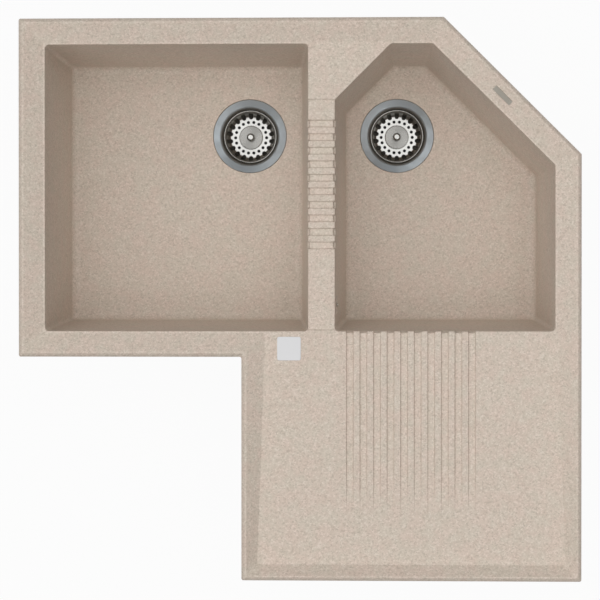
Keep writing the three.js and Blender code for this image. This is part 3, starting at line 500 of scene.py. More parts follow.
def grooveRuns():
    # lines that the deck's triangles follow: the grooves' sides, and the steps at the divider's ends
    runs = []
    ys = np.linspace(bowlFront - mouthOut, grooveEnd, 13)
    for x in (drainerMiddle + grooveOffsets[:, None] + grooveLines).ravel():
        runs.append(np.column_stack([np.full(13, x), ys]))
    left, right = dividerLeft + mouthOut, dividerRight - mouthOut
    half, inside = 110, 18                   # past the outermost groove, and from an edge on to the divider
    xs = np.linspace(left, right, 5)
    for y in (dividerMiddle + grooveOffsets[:, None] + grooveLines).ravel():
        runs.append(np.column_stack([xs, np.full(5, y)]))
    for inward in np.linspace(0, basin["spillLength"], 5)[1:]:
        y = bowlFront - mouthOut - inward
        runs.append(np.array([[drainerMiddle - half, y], [drainerMiddle + half, y]]))
        for x in (left + inward, right - inward):
            runs.append(np.array([[x, dividerMiddle - half], [x, dividerMiddle + half]]))
    r = basin["bowlRound"]
    turn = np.linspace(0, np.pi / 2, mouthSteps + 1)
    for a in turn[1:-1]:
        y = bowlFront - mouthOut + r - r * np.cos(a)
        reach = r - r * np.sin(a)
        runs.append(np.array([[left - reach, y], [left + inside, y], [right + reach, y]]))
    for a in np.linspace(0, np.pi / 4, mouthSteps + 1):
        y = arcStart + r * np.sin(a)
        runs.append(np.array([[left, y], [left + inside, y], [right + r * (1 - np.cos(a)), y]]))
    return runs


def sinkBody():
    # one closed surface: rim, deck with its grooves, both bowls inside and out, and the underside
    surface = Surface()
    rim = rimRings()
    surface.rings(rim)
    bowls = {side: bowlRings(side) for side in mouths}
    for rings in bowls.values():
        surface.rings(rings)
    surface.fill(rim[-1][:, :2], [rings[0][:, :2] for rings in bowls.values()], grooveRuns(), deckHeight)
    surface.fill(rim[0][:, :2], [rings[-1][:, :2] for rings in bowls.values()], [],
                 lambda plan: np.full(len(plan), float(basin["underside"])), flip=True)
    return meshPiece("sink_body_moulded", np.concatenate(surface.vertices), surface.faces)


def revolved(radius, height, segments):
    # radius and height, one row for each step of the profile, carried round Z: x = r cos t, y = r sin t
    turn = np.linspace(0, 2 * np.pi, segments, endpoint=False)
    return np.stack([radius * np.cos(turn), radius * np.sin(turn), height + 0 * turn], axis=2).reshape(-1, 3)


def turned(rows, segments=96, steps=4):
    # a closed profile carried round Z; each row is a corner's radius, its height and its round
    rows = np.array(rows, float)
    path = cornerArcs(rows[:, :2], rows[:, 2], steps).reshape(-1, 2)
    path = np.vstack([path, path[:1]])
    faces = gridFaces(len(path), segments).tolist()
    return revolved(np.maximum(path[:, :1], 0), path[:, 1:], segments), faces


def rod(radius, bottom, top, segments=48, steps=1, lowRound=0, highRound=0):
    # a turned cylinder between two heights
    rows = [(0, bottom, 0), (radius, bottom, lowRound), (radius, top, highRound), (0, top, 0)]
    return turned(rows, segments, steps)


def closedBand(rows, columns):
    # faces of a grid that closes round, with its first and its last ring filled
    last = columns * (rows - 1)
    return gridFaces(rows, columns).tolist() + [list(range(columns))[::-1], list(range(last, last + columns))]


def prism(loop, bottom, top):
    # a flat loop lifted between two heights, with its two ends closed
    return np.concatenate([raised(loop, bottom), raised(loop, top)]), closedBand(2, len(loop))


def moved(points, turn=0.0, to=(0, 0, 0), tilt=0.0):
    # turned about Z, then about Y, then carried to its place
    c, s = np.cos(turn), np.sin(turn)
    x, y, z = points[:, 0] * c - points[:, 1] * s, points[:, 0] * s + points[:, 1] * c, points[:, 2]
    c, s = np.cos(tilt), np.sin(tilt)
    return np.column_stack([x * c + z * s, y, -x * s + z * c]) + np.array(to, float)


def lying(points):
    # a form that stands on Z laid along +X
    return np.column_stack([points[:, 2], points[:, 1], -points[:, 0]])


def finished(piece, body, slot, *replaced, sharp=40, weighted=True):
    # smooth faces up to an angle, normals that follow the large faces, and the piece's place in the model
    piece.data.polygons.foreach_set("use_smooth", np.ones(len(piece.data.polygons), bool))
    piece.data.set_sharp_from_angle(angle=np.radians(sharp))
    if weighted:
        modifier = piece.modifiers.new("large faces first", "WEIGHTED_NORMAL")
        modifier.weight = 100
        modifier.keep_sharp = True
    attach(piece, body)
    if replaced:
        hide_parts(*replaced)
    piece["finish"] = slot
    return piece


def applied(piece):
    # the mesh with its modifiers worked in
    shaped = piece.evaluated_get(bpy.context.evaluated_depsgraph_get())
    mesh = bpy.data.meshes.new_from_object(shaped)
    piece.modifiers.clear()
    old = piece.data
    piece.data = mesh
    mesh.name = old.name
    bpy.data.meshes.remove(old)


def carve(piece, vertices, faces, operation="DIFFERENCE"):
    # a boolean with closed forms that may be several in one mesh
    tool = meshPiece("tool", vertices, faces)
    modifier = piece.modifiers.new("carve", "BOOLEAN")
    modifier.operation = operation
    modifier.solver = "MANIFOLD"
    modifier.object = tool
    applied(piece)
    mesh = tool.data
    bpy.data.objects.remove(tool)
    bpy.data.meshes.remove(mesh)


def put(form, **place):
    # a form turned and carried to its place
    return moved(form[0], **place), form[1]


def many(form, places):
    # copies of one form, each with its own turn and place, in one set of vertices and faces
    vertices, faces = form
    count = len(vertices)
    allVertices = np.concatenate([moved(vertices, **place) for place in places])
    return allVertices, [[v + k * count for v in face] for k in range(len(places)) for face in faces]


def evenly(form, count, place, start=0.0):
    # copies of a form evenly round an upright axis, the first one a share of a step on
    return many(form, [{"turn": 2 * np.pi * (k + start) / count, "to": place} for k in range(count)])


def dressed(node, body, slot, bevel=0.3, segments=2, sharp=40):
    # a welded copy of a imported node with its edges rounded
    mesh = frame["nodes"][node].data.copy()
    work = bmesh.new()
    work.from_mesh(mesh)
    bmesh.ops.remove_doubles(work, verts=work.verts, dist=1e-6)
    bmesh.ops.dissolve_limit(work, angle_limit=np.radians(1), verts=work.verts, edges=work.edges)
    work.to_mesh(mesh)
    work.free()
    mesh.materials.clear()
    piece = added(node + "_finished", mesh)
    modifier = piece.modifiers.new("edges", "BEVEL")
    modifier.width = bevel * mm
    modifier.segments = segments
    modifier.limit_method = "ANGLE"
    modifier.angle_limit = np.radians(sharp)
    modifier.use_clamp_overlap = True
    applied(piece)
    return finished(piece, body, slot, node)


# basket wastes
waste = {
    "gap": 0.3,               # between pieces that touch
    "holeGap": 0.5,
    "cup": 87.2,              # inside diameter below the flange
    "sheet": 1.0,
    "ledgeDepth": 12,
    "ledgeWidth": 3.4,
    "cupDepth": 43,
    "outlets": 6,             # kidney-shaped holes in the cup's bottom
    "outletShare": 0.66,      # their share of the way round
    "outletReach": (10, 25),  # radii that they lie between
    "slots": 18,
    "slotWidth": 6.8,
    "holeDiameter": 4.8,
    "holeCircle": 49.2,
    "basketDepth": 22,
    "basketBottom": 66,
    "slotEnd": 58,            # diameter that the slots reach in to on the flat bottom
    "cap": 37.2,
    "capRise": 2,
    "knob": 12,
    "knobHeight": 13,
    "stem": 6,
    "spigot": 47.8,
    "bore": 38,
    "spigotLength": 26,
    "bodyDepth": 24,
    "plastic": 3,
    "bodyFlange": 124,
    "bodyFlangeThickness": 4,
    "neck": 85,
    "hub": 18,
    "hubLength": 14,
    "bush": 12,
    "screw": 8,
    "screwHead": 15,
    "screwHeadHeight": 4,
    "socket": 3.3,
    "stopper": 58,
    "threadPitch": 2.3,
    "threadDepth": 1.1,
    "inletDrop": 34,
}
cupWall = waste["cup"] / 2
seatRadius = cupWall - 1
innerRadius = seatRadius - waste["ledgeWidth"]
rimLevel = -waste["ledgeDepth"] + waste["gap"]
bottomLevel = -waste["ledgeDepth"] - waste["basketDepth"]
capLevel = bottomLevel + waste["sheet"] + waste["capRise"]
screwHeadLevel = -waste["cupDepth"] + waste["gap"] + waste["screwHeadHeight"]
hubLevel = -waste["cupDepth"] - waste["sheet"] - waste["gap"]
spigotLevel = -waste["cupDepth"] - waste["sheet"] - waste["bodyDepth"]
clampDrop = flangeLevel - clampLevel


def arc(radius, start, end, count):
    # points on a circle between two angles
    t = np.linspace(start, end, count)
    return radius * np.column_stack([np.cos(t), np.sin(t)])


def circle(radius, count):
    # points evenly spread over a whole turn
    return arc(radius, 0, 2 * np.pi, count + 1)[:-1]


def strainerCup(side):
    # pressed cup: flange with a turned-down edge, coned throat, ledge, wall and a bottom with kidneys cut out
    t = waste["sheet"]
    edge = basin["flange"] / 2
    low = -basin["recess"] + waste["gap"]
    deep = -waste["cupDepth"]
    hole = waste["screw"] / 2 + waste["gap"]
    ledge = -waste["ledgeDepth"]
    vertices, faces = turned([
        (edge, low, 0.2), (edge, -0.5, 0.9), (cupWall + 3.2, 0, 2.2), (cupWall, -4.5, 2.5),
        (seatRadius, ledge, 0.9), (innerRadius, ledge, 0.8), (innerRadius - 0.6, deep + 3, 0.4),
        (innerRadius - 3.6, deep, 1.5), (hole, deep, 0.2), (hole, deep - t, 0.2),
        (innerRadius - 3.2, deep - t, 2), (innerRadius + t - 0.6, deep + 2.6, 1),
        (innerRadius + t, ledge - t, 0.6), (seatRadius + t, ledge - t, 1.5), (cupWall + t, -5, 2),
        (cupWall + 3.6, -t, 1.2), (edge - t, -t, 0.4), (edge - t, low, 0.1)], 144, 5)
    place = (*wastes[side], flangeLevel)
    cup = meshPiece(f"{side}_strainer_cup_pressed", moved(vertices, to=place), faces)
    half = waste["outletShare"] * np.pi / waste["outlets"]
    inner, outer = waste["outletReach"]
    kidney = np.vstack([arc(outer, -half, half, 15), arc(inner, half, -half, 9)])
    carve(cup, *evenly(prism(kidney, deep - 3, deep + 1), waste["outlets"], place, 0.5))
    return finished(cup, "sink", "satin_steel", f"{side}_strainer_cup", sharp=50)


def basket(side):
    # rolled rim, coned wall, flat bottom with a raised cap; slots run down the wall into the bottom
    t = waste["sheet"]
    rim = seatRadius - 2 * waste["holeGap"]
    wall = innerRadius - waste["holeGap"]
    flat = waste["basketBottom"] / 2
    cap = waste["cap"] / 2
    low = bottomLevel
    stem = waste["stem"] / 2 + waste["gap"]
    vertices, faces = turned([
        (rim, rimLevel, 0.5), (rim, rimLevel + 1.8, 0.7), (rim - 1.5, rimLevel + 1.8, 0.6),
        (wall - t, rimLevel - 1.2, 1.2), (wall - 2.6, low + 7, 4), (flat - 0.5, low + t, 2),
        (cap, low + t, 0.5), (cap - 0.5, capLevel, 0.6), (stem, capLevel, 0.1), (stem, low + t, 0.1),
        (cap - 2.2, low + t, 0.4), (cap - 1.8, low, 0.4), (flat, low, 2.6), (wall - 1.6, low + 7, 4),
        (wall, rimLevel, 0.6)], 180, 5)
    place = (*wastes[side], flangeLevel)
    form = meshPiece(f"{side}_basket_pressed", moved(vertices, to=place), faces)
    half = waste["slotWidth"] / 2
    middle = waste["slotEnd"] / 2 + half
    end = arc(half, np.pi / 2, 1.5 * np.pi, 15) + [middle, 0]
    slot = np.vstack([[[rim + 3, -half], [rim + 3, half]], end])
    carve(form, *evenly(prism(slot, low - 1, rimLevel - 2.4), waste["slots"], place, 0.5))
    hole = circle(waste["holeDiameter"] / 2, 20) + [waste["holeCircle"] / 2, 0]
    carve(form, *evenly(prism(hole, low - 1, low + 2 * t), waste["slots"], place))
    return finished(form, f"{side}_basket", "steel", f"{side}_basket", sharp=50)


def simpleTurned(name, side, body, slot, rows, segments=64, steps=4):
    # a turned piece on a waste's axis
    form = put(turned(rows, segments, steps), to=(*wastes[side], flangeLevel))
    piece = meshPiece(f"{side}_{name}_turned", *form)
    return finished(piece, body, slot, f"{side}_{name}")


def wasteSmallPieces(side):
    # knob with its stem, stopper seal, spring clip, centre screw, the two seals of the flange, and the bush
    gap = waste["gap"]
    r = waste["knob"] / 2
    top = capLevel + gap + waste["knobHeight"]
    collar = capLevel + gap
    stem = waste["stem"] / 2
    stemEnd = screwHeadLevel - waste["socket"] + waste["holeGap"]
    basketBody = f"{side}_basket"
    simpleTurned("basket_knob", side, basketBody, "steel", [
        (0, top, 0), (r * 0.62, top, 1.2), (r, top - 2.2, 1.3), (r, top - 4.2, 1.1),
        (r * 0.52, top - 7.5, 2.2), (r * 0.52, collar + 2.4, 1.0), (r * 0.85, collar + 1.2, 0.5),
        (r * 0.85, collar, 0.2), (stem, collar, 0), (stem, stemEnd, 0.4), (0, stemEnd, 0)])
    hole = stem + gap
    hat = waste["screwHead"] / 2 + 3.5
    rubber = waste["stopper"] / 2
    high = bottomLevel - gap
    low = -waste["cupDepth"] + gap
    simpleTurned("stopper_seal", side, basketBody, "rubber", [
        (hole, high, 0.2), (hole, high - 2.2, 0.2), (hat, high - 2.2, 0.8), (hat, low + 1.4, 0.3),
        (rubber - 3, low + 1.4, 0.3), (rubber - 2, low, 0.2), (rubber, low, 0.2),
        (rubber - 0.6, low + 2.9, 0.7), (hat + 2.2, low + 2.9, 1.2), (hat + 2, high, 0.8)])
    level = bottomLevel - 2.2 - 2 * gap
    simpleTurned("stem_clip", side, basketBody, "steel", [
        (hole, level - 1, 0.1), (hole + 3.2, level - 1, 0.2), (hole + 3.2, level, 0.2), (hole, level, 0.1)])
    head = waste["screwHead"] / 2
    socket = stem + gap
    shank = waste["screw"] / 2
    end = hubLevel - waste["hubLength"] - 2
    pitch, turns = 1.25, 12
    crests = end + 1 + (turns - 0.4 - np.arange(turns)) * pitch
    thread = [row for z in crests for row in ((shank, z, 0.1), (shank - 0.55, z - pitch / 2, 0.1))]
    simpleTurned("centre_screw", side, "sink", "steel", [
        (0, screwHeadLevel - waste["socket"], 0), (socket, screwHeadLevel - waste["socket"], 0.2),
        (socket, screwHeadLevel, 0.3), (head, screwHeadLevel, 0.7), (head, low, 0.3), (shank, low, 0.2),
        *thread, (shank - 0.8, end, 0.1), (0, end, 0)], 48, 2)
    inner, outer = basin["flange"] / 2 - waste["sheet"] - 0.5, waste["cup"] / 2 + 3
    seat, level = -basin["recess"] + gap, -waste["sheet"] - gap
    simpleTurned("flange_seal", side, "sink", "rubber", [
        (outer, seat, 0.3), (inner, seat, 0.3), (inner, level, 0.3), (outer, level, 0.3)])
    outer = waste["bodyFlange"] / 2 - 2
    inner = outer - 13.5
    level = -clampDrop - gap
    simpleTurned("clamp_seal", side, "sink", "rubber", [
        (inner, level - 2, 0.5), (outer, level - 2, 0.5), (outer, level, 0.5), (inner, level, 0.5)])
    low, high, outer = hubLevel - waste["hubLength"] + gap, hubLevel - gap, waste["bush"] / 2
    simpleTurned("screw_bush", side, "sink", "brass", [
        (shank + gap, low, 0.4), (outer, low, 0.4), (outer, high, 0.4), (shank + gap, high, 0.4)])


def spigotThread(top, bottom, columns):
    # a helical ridge: radius = root + height of a rounded tooth at (height / pitch - turn)
    z = np.linspace(top, bottom, 90)[:, None]
    turn = np.linspace(0, 2 * np.pi, columns, endpoint=False)
    phase = z / waste["threadPitch"] - turn / (2 * np.pi)
    ends = smoothStep((top - 2 - z) / 1.5) * smoothStep((z - bottom - 1.5) / 1.5)
    tooth = np.clip(0.5 + 0.9 * np.cos(2 * np.pi * phase), 0, 1) * ends
    depth = waste["threadDepth"]
    return revolved(waste["spigot"] / 2 - depth + depth * tooth, z, columns)


def wasteBody(side):
    # moulded cup: clamping flange, neck, funnel, threaded spigot, and a three-armed spider with its hub
    t = waste["plastic"]
    neck = waste["neck"] / 2
    bore = waste["bore"] / 2
    spigot = waste["spigot"] / 2 - waste["threadDepth"]
    top = -clampDrop - 2 - 2 * waste["gap"]
    shoulder = -waste["cupDepth"] - waste["sheet"]
    end = spigotLevel - waste["spigotLength"]
    flange = waste["bodyFlange"] / 2
    thick = waste["bodyFlangeThickness"]
    rows = np.array([
        (spigot, spigotLevel - t - 3, 0.3), (waste["spigot"] / 2, spigotLevel - t, 1.5),
        (neck - 4 + t, shoulder - 5 - t, 3), (neck - 1 + t, shoulder - 1, 3), (neck + t, top - thick, 1.5),
        (flange, top - thick, 0.8), (flange, top, 0.6), (neck, top, 0.6), (neck - 1, shoulder, 3),
        (neck - 4, shoulder - 5, 3), (bore, spigotLevel, 3), (bore, end + 0.6, 0.2), (bore + 0.6, end, 0.2),
        (spigot, end, 0.3)])
    outer = cornerArcs(rows[:, :2], rows[:, 2], 4).reshape(-1, 2)
    columns = 96
    shell = revolved(outer[:, :1], outer[:, 1:], columns).reshape(-1, columns, 3)
    thread = spigotThread(spigotLevel - t - 3, end, columns).reshape(-1, columns, 3)[::-1]
    grid = np.concatenate([shell, thread[1:-1], shell[:1]])
    place = (*wastes[side], flangeLevel)
    body = meshPiece(f"{side}_waste_body_moulded", moved(grid.reshape(-1, 3), to=place),
                     gridFaces(len(grid), columns).tolist())
    low = hubLevel - waste["hubLength"]
    carve(body, *put(rod(waste["hub"] / 2, low, hubLevel, 48, 4, 0.8, 0.8), to=place), "UNION")
    arm = rectangle(2, -t / 2, neck - 3, t / 2)
    carve(body, *evenly(prism(arm, low + 1, hubLevel - 1), 3, place), "UNION")
    carve(body, *put(rod(waste["bush"] / 2 + waste["gap"], low - 1, hubLevel + 1), to=place))
    if side == "right":
        addInlet(body)
    return finished(body, "sink", "plastic", f"{side}_waste_body")


# overflow
overflow = {
    "depth": 33,              # deck down to the middle of the slots
    "front": 39,              # front edge of the right bowl to the middle of the slots
    "slotWidth": 11,
    "slotHeight": 14,
    "slotRound": 2.5,
    "bridge": 6,
    "margin": 3,
    "elbowDepth": 24,
    "screw": 3,
    "seal": 1.5,
    "pipe": 16.4,
    "pipeBore": 12,
    "pipeLength": 30,
    "hose": 22,
    "hosePitch": 4,           # distance between the hose's ribs
    "hoseRib": 1.1,           # their height
    "hoseWall": 0.9,
    "bend": 88,               # radius of both bends of the hose's middle line
    "nut": 27,
    "nutLength": 16,
    "flutes": 12,             # on the nuts
    "fluteDepth": 0.7,
}
inletAngle = 1.25 * np.pi
inletPlace = {"turn": inletAngle, "to": (*wastes["right"], flangeLevel - waste["inletDrop"])}
nutBack = overflow["pipeLength"] - overflow["nutLength"] + 2
wallTilt = np.arctan2(basin["lean"], basin["bowlDepth"])
overflowLevel = basin["deck"] - overflow["depth"]
overflowPlace = (dividerRight + leanAt(overflowLevel) - basin["wall"], bowlFront + overflow["front"],
                 overflowLevel)
elbowHeight = overflow["slotHeight"] + 2 * overflow["margin"]
elbowBack = overflow["elbowDepth"] + overflow["seal"] + 2 * waste["gap"]
pipeX = -elbowBack + overflow["elbowDepth"] / 2


def atOverflow(points):
    # from the overflow's own axes, with +X square to the bowl's leaning wall, to the sink's
    return moved(points, to=overflowPlace, tilt=-wallTilt)


def addInlet(body):
    # collar and pipe on the side of the right waste's neck, bored through
    def onNeck(form):
        return moved(lying(form[0]) + [waste["neck"] / 2, 0, 0], **inletPlace), form[1]

    r = overflow["pipe"] / 2
    carve(body, *onNeck(rod(r + 2.5, -1, nutBack - 2, 48, 3, highRound=0.8)), "UNION")
    carve(body, *onNeck(rod(r, 0, overflow["pipeLength"], 48, 3, highRound=0.5)), "UNION")
    carve(body, *onNeck(rod(overflow["pipeBore"] / 2, -8, overflow["pipeLength"] + 10)))


def overflowHoles():
    # two slots with rounded ends and the screw's hole, cut square to the leaning wall
    shift = (overflow["bridge"] + overflow["slotWidth"]) / 2
    across, tall = overflow["slotWidth"] / 2, overflow["slotHeight"] / 2
    corners = rectangle(-across, -tall, across, tall)
    loop = cornerArcs(corners, np.full(4, overflow["slotRound"]), 6).reshape(-1, 2)
    outside, inside = -20, 30                      # past both faces of the wall
    vertices, faces = prism(loop[:, ::-1], outside, inside)
    faces = [face[::-1] for face in faces]
    hole = prism(circle(overflow["screw"] / 2 + waste["gap"], 24), outside, inside)
    return [(lying(vertices) + [0, -shift, 0], faces), (lying(vertices) + [0, shift, 0], faces),
            (lying(hole[0]), hole[1])]


def hoseNut(name, place):
    # a cap nut with flutes for grip: radius = outside less a shallow wave at so many times the turn
    inside = overflow["hose"] / 2 + 2 * waste["gap"]
    pipe = overflow["pipe"] / 2 + 2 * waste["gap"]
    r = overflow["nut"] / 2
    end = nutBack + overflow["nutLength"]
    profile = np.array([[pipe, nutBack], [r, nutBack], [r, nutBack + 3], [r, end], [inside, end],
                        [inside, nutBack + 2], [pipe, nutBack + 2]])
    path = cornerArcs(profile, np.array([0.3, 1.5, 0, 0.5, 0.3, 0.2, 0.2]), 4).reshape(-1, 2)
    path = np.vstack([path, path[:1]])
    columns = 144
    turn = np.linspace(0, 2 * np.pi, columns, endpoint=False)
    height = path[:, 1:]
    onGrip = (path[:, :1] > inside + 1.5) * smoothStep((height - nutBack - 2) / 2)
    wave = np.clip(0.5 + 0.8 * np.cos(overflow["flutes"] * turn), 0, 1)
    grid = revolved(path[:, :1] - overflow["fluteDepth"] * wave * onGrip, height, columns)
    piece = meshPiece(name + "_fluted", place(grid), gridFaces(len(path), columns).tolist())
    return finished(piece, "sink", "plastic", name, sharp=45)


def hoseLine():
    # the hose's middle line: down along the wall, a quarter bend, ahead, an eighth bend, and on to the inlet
    bend = overflow["bend"]
    x, y = wastes["right"]
    level = flangeLevel - waste["inletDrop"]
    reach = waste["neck"] / 2 + nutBack + 2 + waste["gap"]
    end = np.array([x + reach * np.cos(inletAngle), y + reach * np.sin(inletAngle), level])
    start = atOverflow(np.array([[pipeX, 0, -elbowHeight / 2 - nutBack - 2 - waste["gap"]]]))[0]
    down = np.array([np.sin(wallTilt), 0, -np.cos(wallTilt)])
    ahead = np.array([0.0, 1, 0])
    diagonal = np.array([1, 1, 0]) / 2 ** 0.5
    straight = (start[2] - level) / np.cos(wallTilt) - bend
    quarter = start + down * straight
    turn = np.linspace(0, np.pi / 2, 60)[:, None]
    firstBend = quarter + bend * (down * np.sin(turn) + ahead * (1 - np.cos(turn)))
    eighth = bend * np.array([1 - 0.5 ** 0.5, 0.5 ** 0.5, 0])
    lastStart = end - diagonal * (end[0] - firstBend[-1][0] - eighth[0]) * 2 ** 0.5
    turn = np.linspace(0, np.pi / 4, 40)[:, None]
    lastBend = lastStart - eighth + bend * (ahead * np.sin(turn) + np.array([1.0, 0, 0]) * (1 - np.cos(turn)))
    corners = np.vstack([start[None], firstBend, lastBend, end[None]])
    along = np.concatenate([[0], np.cumsum(np.linalg.norm(np.diff(corners, axis=0), axis=1))])
    print(f"overflow hose: {along[-1]:.0f} mm long")
    return corners, along


def overflowHose():
    # corrugated tube: radius = middle + half a ridge times the cosine of the length over the pitch
    corners, along = hoseLine()
    rows = int(along[-1] / overflow["hosePitch"] * 8)
    s = np.linspace(0, along[-1], rows)
    line = np.column_stack([np.interp(s, along, corners[:, k]) for k in range(3)])
    tangent = unit(np.gradient(line, axis=0))
    side = unit(np.cross(tangent, np.array([1.0, -1.0, 0.15])))
    third = np.cross(tangent, side)
    turn = np.linspace(0, 2 * np.pi, 32, endpoint=False)

    def skin(radius):
        around = side[:, None] * np.cos(turn)[None, :, None] + third[:, None] * np.sin(turn)[None, :, None]
        return line[:, None] + around * radius[:, None, None]

    cuff = 14                                     # smooth stretch inside each nut
    ends = smoothStep((s - cuff) / 2) * smoothStep((along[-1] - s - cuff) / 2)
    wave = 0.5 + 0.5 * np.cos(2 * np.pi * s / overflow["hosePitch"])
    outer = overflow["hose"] / 2 - overflow["hoseRib"] * (1 - wave) * ends
    grid = np.concatenate([skin(outer), skin(outer - overflow["hoseWall"])[::-1], skin(outer)[:1]])
    piece = meshPiece("overflow_hose_corrugated", grid.reshape(-1, 3), gridFaces(len(grid), 32).tolist())
    return finished(piece, "sink", "plastic", "overflow_hose", weighted=False, sharp=60)


def crossSlot(piece, length, width, bottom, top, place):
    # two bars at right angles cut out of a screw's head
    bar = prism(rectangle(-length / 2, -width / 2, length / 2, width / 2), bottom, top)
    for turn in (0, np.pi / 2):
        carve(piece, place(moved(bar[0], turn=turn)), bar[1])


def overflowScrew():
    # pan head with a cross slot, threaded shank into the elbow's boss
    r = overflow["screw"] / 2
    head = overflow["bridge"] / 2
    face = basin["wall"] - leanAt(overflowLevel) + insideLean(overflowLevel) + waste["gap"]
    end = -overflow["elbowDepth"] / 2
    turns = 20                                    # a millimetre each
    thread = [row for z in end + np.arange(turns) for row in ((r, z, 0.05), (r - 0.35, z + 0.5, 0.05))]
    rows = [(0, end - 1.5, 0), *thread, (r, face, 0.1), (head, face, 0.2), (head, face + 0.8, 0.5),
            (head * 0.6, face + 1.9, 1.5), (0, face + 2, 0)]
    form = turned(rows, 40, 2)
    piece = meshPiece("overflow_screw_turned", atOverflow(lying(form[0])), form[1])
    crossSlot(piece, 3.4, 0.8, face + 1, face + 4, lambda points: atOverflow(lying(points)))
    return finished(piece, "sink", "steel", "overflow_screw")


# clips under the rim
clip = {
    "inset": 23.5,            # rim's edge to the screw's axis
    "worktop": 38,            # underside of the worktop that the clips grip
    "insert": 8,
    "insertLength": 15,
    "boss": 15,
    "bossDrop": 10,
    "screw": 5,
    "screwPitch": 1.6,
    "head": 9.2,
    "headHeight": 3.5,
    "grip": 4.5,              # length of the screw inside its boss
    "width": 15,
    "reach": 22,
    "tip": 10,
    "sheet": 2,
    "teeth": 4,
    "tooth": 1.5,
    "toothStart": 4,          # height over the foot where the teeth begin, and the rise to their full depth
    "toothRise": 5,
}
bossLevel = basin["underside"] - clip["bossDrop"]
clipBase = -clip["worktop"] - clip["tip"]
clipSpots = {                                      # edge of the outline, and share of its length
    "inner_side": (0, 0.5), "drainer_end": (1, 0.5), "right_front": (2, 0.25), "right_back": (2, 0.8),
    "back_right": (4, 0.2), "back_left": (4, 0.8), "left_side": (5, 0.5), "front": (6, 0.5),
}


def clipPlace(name):
    # a share along one edge of the outline, moved inwards; the clip points outwards
    edge, share = clipSpots[name]
    start, end = outline[edge], outline[(edge + 1) % len(outline)]
    along = (end - start) / np.linalg.norm(end - start)
    outward = np.array([along[1], -along[0]])
    x, y = start + (end - start) * share - outward * clip["inset"]
    return {"turn": np.arctan2(outward[1], outward[0]), "to": (x, y, 0)}


def clipStrip(name):
    # bent strip: its side view is an L with a rounded bend, as wide as the strip, with four teeth on top, and
    # its end is cut round about the screw's hole
    place = clipPlace(name)
    half = clip["width"] / 2
    t = clip["sheet"]
    low = clipBase - t
    high = -clip["worktop"]
    side = np.array([[-half, low], [clip["reach"], low], [clip["reach"], high], [clip["reach"] - t, high],
                     [clip["reach"] - t, clipBase], [-half, clipBase]])
    path = cornerArcs(side, np.array([0.3, 2.2, 0.3, 0.3, 0.8, 0.3]), 5).reshape(-1, 2)
    across = np.linspace(-half, half, 8 * clip["teeth"] + 1)
    tooth = clip["tooth"] * np.abs((across / half * clip["teeth"] + 1) % 2 - 1)
    lift = np.clip((path[:, 1:] - clipBase - clip["toothStart"]) / clip["toothRise"], 0, 1)
    x = np.broadcast_to(path[:, :1], (len(path), len(across)))
    z = path[:, 1:] - tooth * lift
    grid = np.stack([x, across + 0 * x, z], axis=2).transpose(1, 0, 2)
    faces = closedBand(len(across), len(path))
    piece = meshPiece(f"clip_{name}_bent", moved(grid.reshape(-1, 3), **place), faces)
    past = half + 5
    outside = np.vstack([[[0, half]], arc(half, np.pi / 2, 1.5 * np.pi, 25),
                         [[0, -past], [-past, -past], [-past, past], [0, past]]])
    carve(piece, *put(prism(outside, low - 1, clipBase + 1), **place))
    hole = circle(clip["screw"] / 2 + waste["gap"], 32)
    carve(piece, *put(prism(hole, low - 1, clipBase + 1), **place))
    return finished(piece, f"clip_{name}", "zinc_steel", f"clip_{name}")


def clipScrew(name):
    # cheese head with a cross slot, threaded shank
    r = clip["screw"] / 2
    head = clip["head"] / 2
    seat = clipBase - clip["sheet"] - waste["gap"]
    tip = bossLevel + clip["grip"]
    pitch = clip["screwPitch"]
    roots = seat + 3 + pitch * np.arange(int((tip - seat - 4) / pitch))
    thread = [row for z in roots for row in ((r - 0.45, z, 0.1), (r, z + pitch / 2, 0.05))]
    low = seat - clip["headHeight"]
    rows = [(0, low, 0), (head, low, 0.8), (head, seat, 0.3), (r, seat, 0.1), (r, seat + 2.4, 0.1),
            *thread, (r - 0.5, tip, 0.3), (0, tip, 0)]
    place = clipPlace(name)
    piece = meshPiece(f"clip_screw_{name}_turned", *put(turned(rows, 32, 2), **place))
    crossSlot(piece, 4.8, 1, low - 1, low + 2, lambda points: moved(points, **place))
    return finished(piece, f"clip_screw_{name}", "zinc_steel", f"clip_screw_{name}")


def clipInsert(name):
    # plastic bush with a collar below the boss
    outer = clip["insert"] / 2
    bore = clip["screw"] / 2 + waste["gap"]
    low = bossLevel - waste["gap"]
    top = bossLevel + clip["insertLength"]
    rows = [(bore, low - 1, 0.3), (outer + 1.5, low - 1, 0.3), (outer + 1.5, low, 0.2), (outer, low, 0.1),
            (outer, top, 0.4), (bore, top, 0.3)]
    piece = meshPiece(f"clip_insert_{name}_moulded", *put(turned(rows, 40, 3), **clipPlace(name)))
    return finished(piece, "sink", "plastic", f"clip_insert_{name}")


def rimSeal():
    # foam strip: a slightly crowned section carried round the rim's groove
    gap = waste["gap"]
    near = basin["sealInset"] + gap
    deep = basin["sealInset"] + basin["sealWidth"] - gap
    top = basin["sealDepth"] - gap
    section = [(near, top), (near, 0.5), (near + 0.35, 0.12), ((near + deep) / 2, 0.0), (deep - 0.35, 0.12),
               (deep, 0.5), (deep, top), (near, top)]
    none = [np.zeros((0, 2))] * len(outline)
    rings = [raised(loopRing(outline, none, basin["planRound"], inward, 6), height)
             for inward, height in section]
    piece = meshPiece("rim_seal_foam", np.concatenate(rings), gridFaces(len(rings), len(rings[0])).tolist())
    return finished(piece, "sink", "foam", "rim_seal")


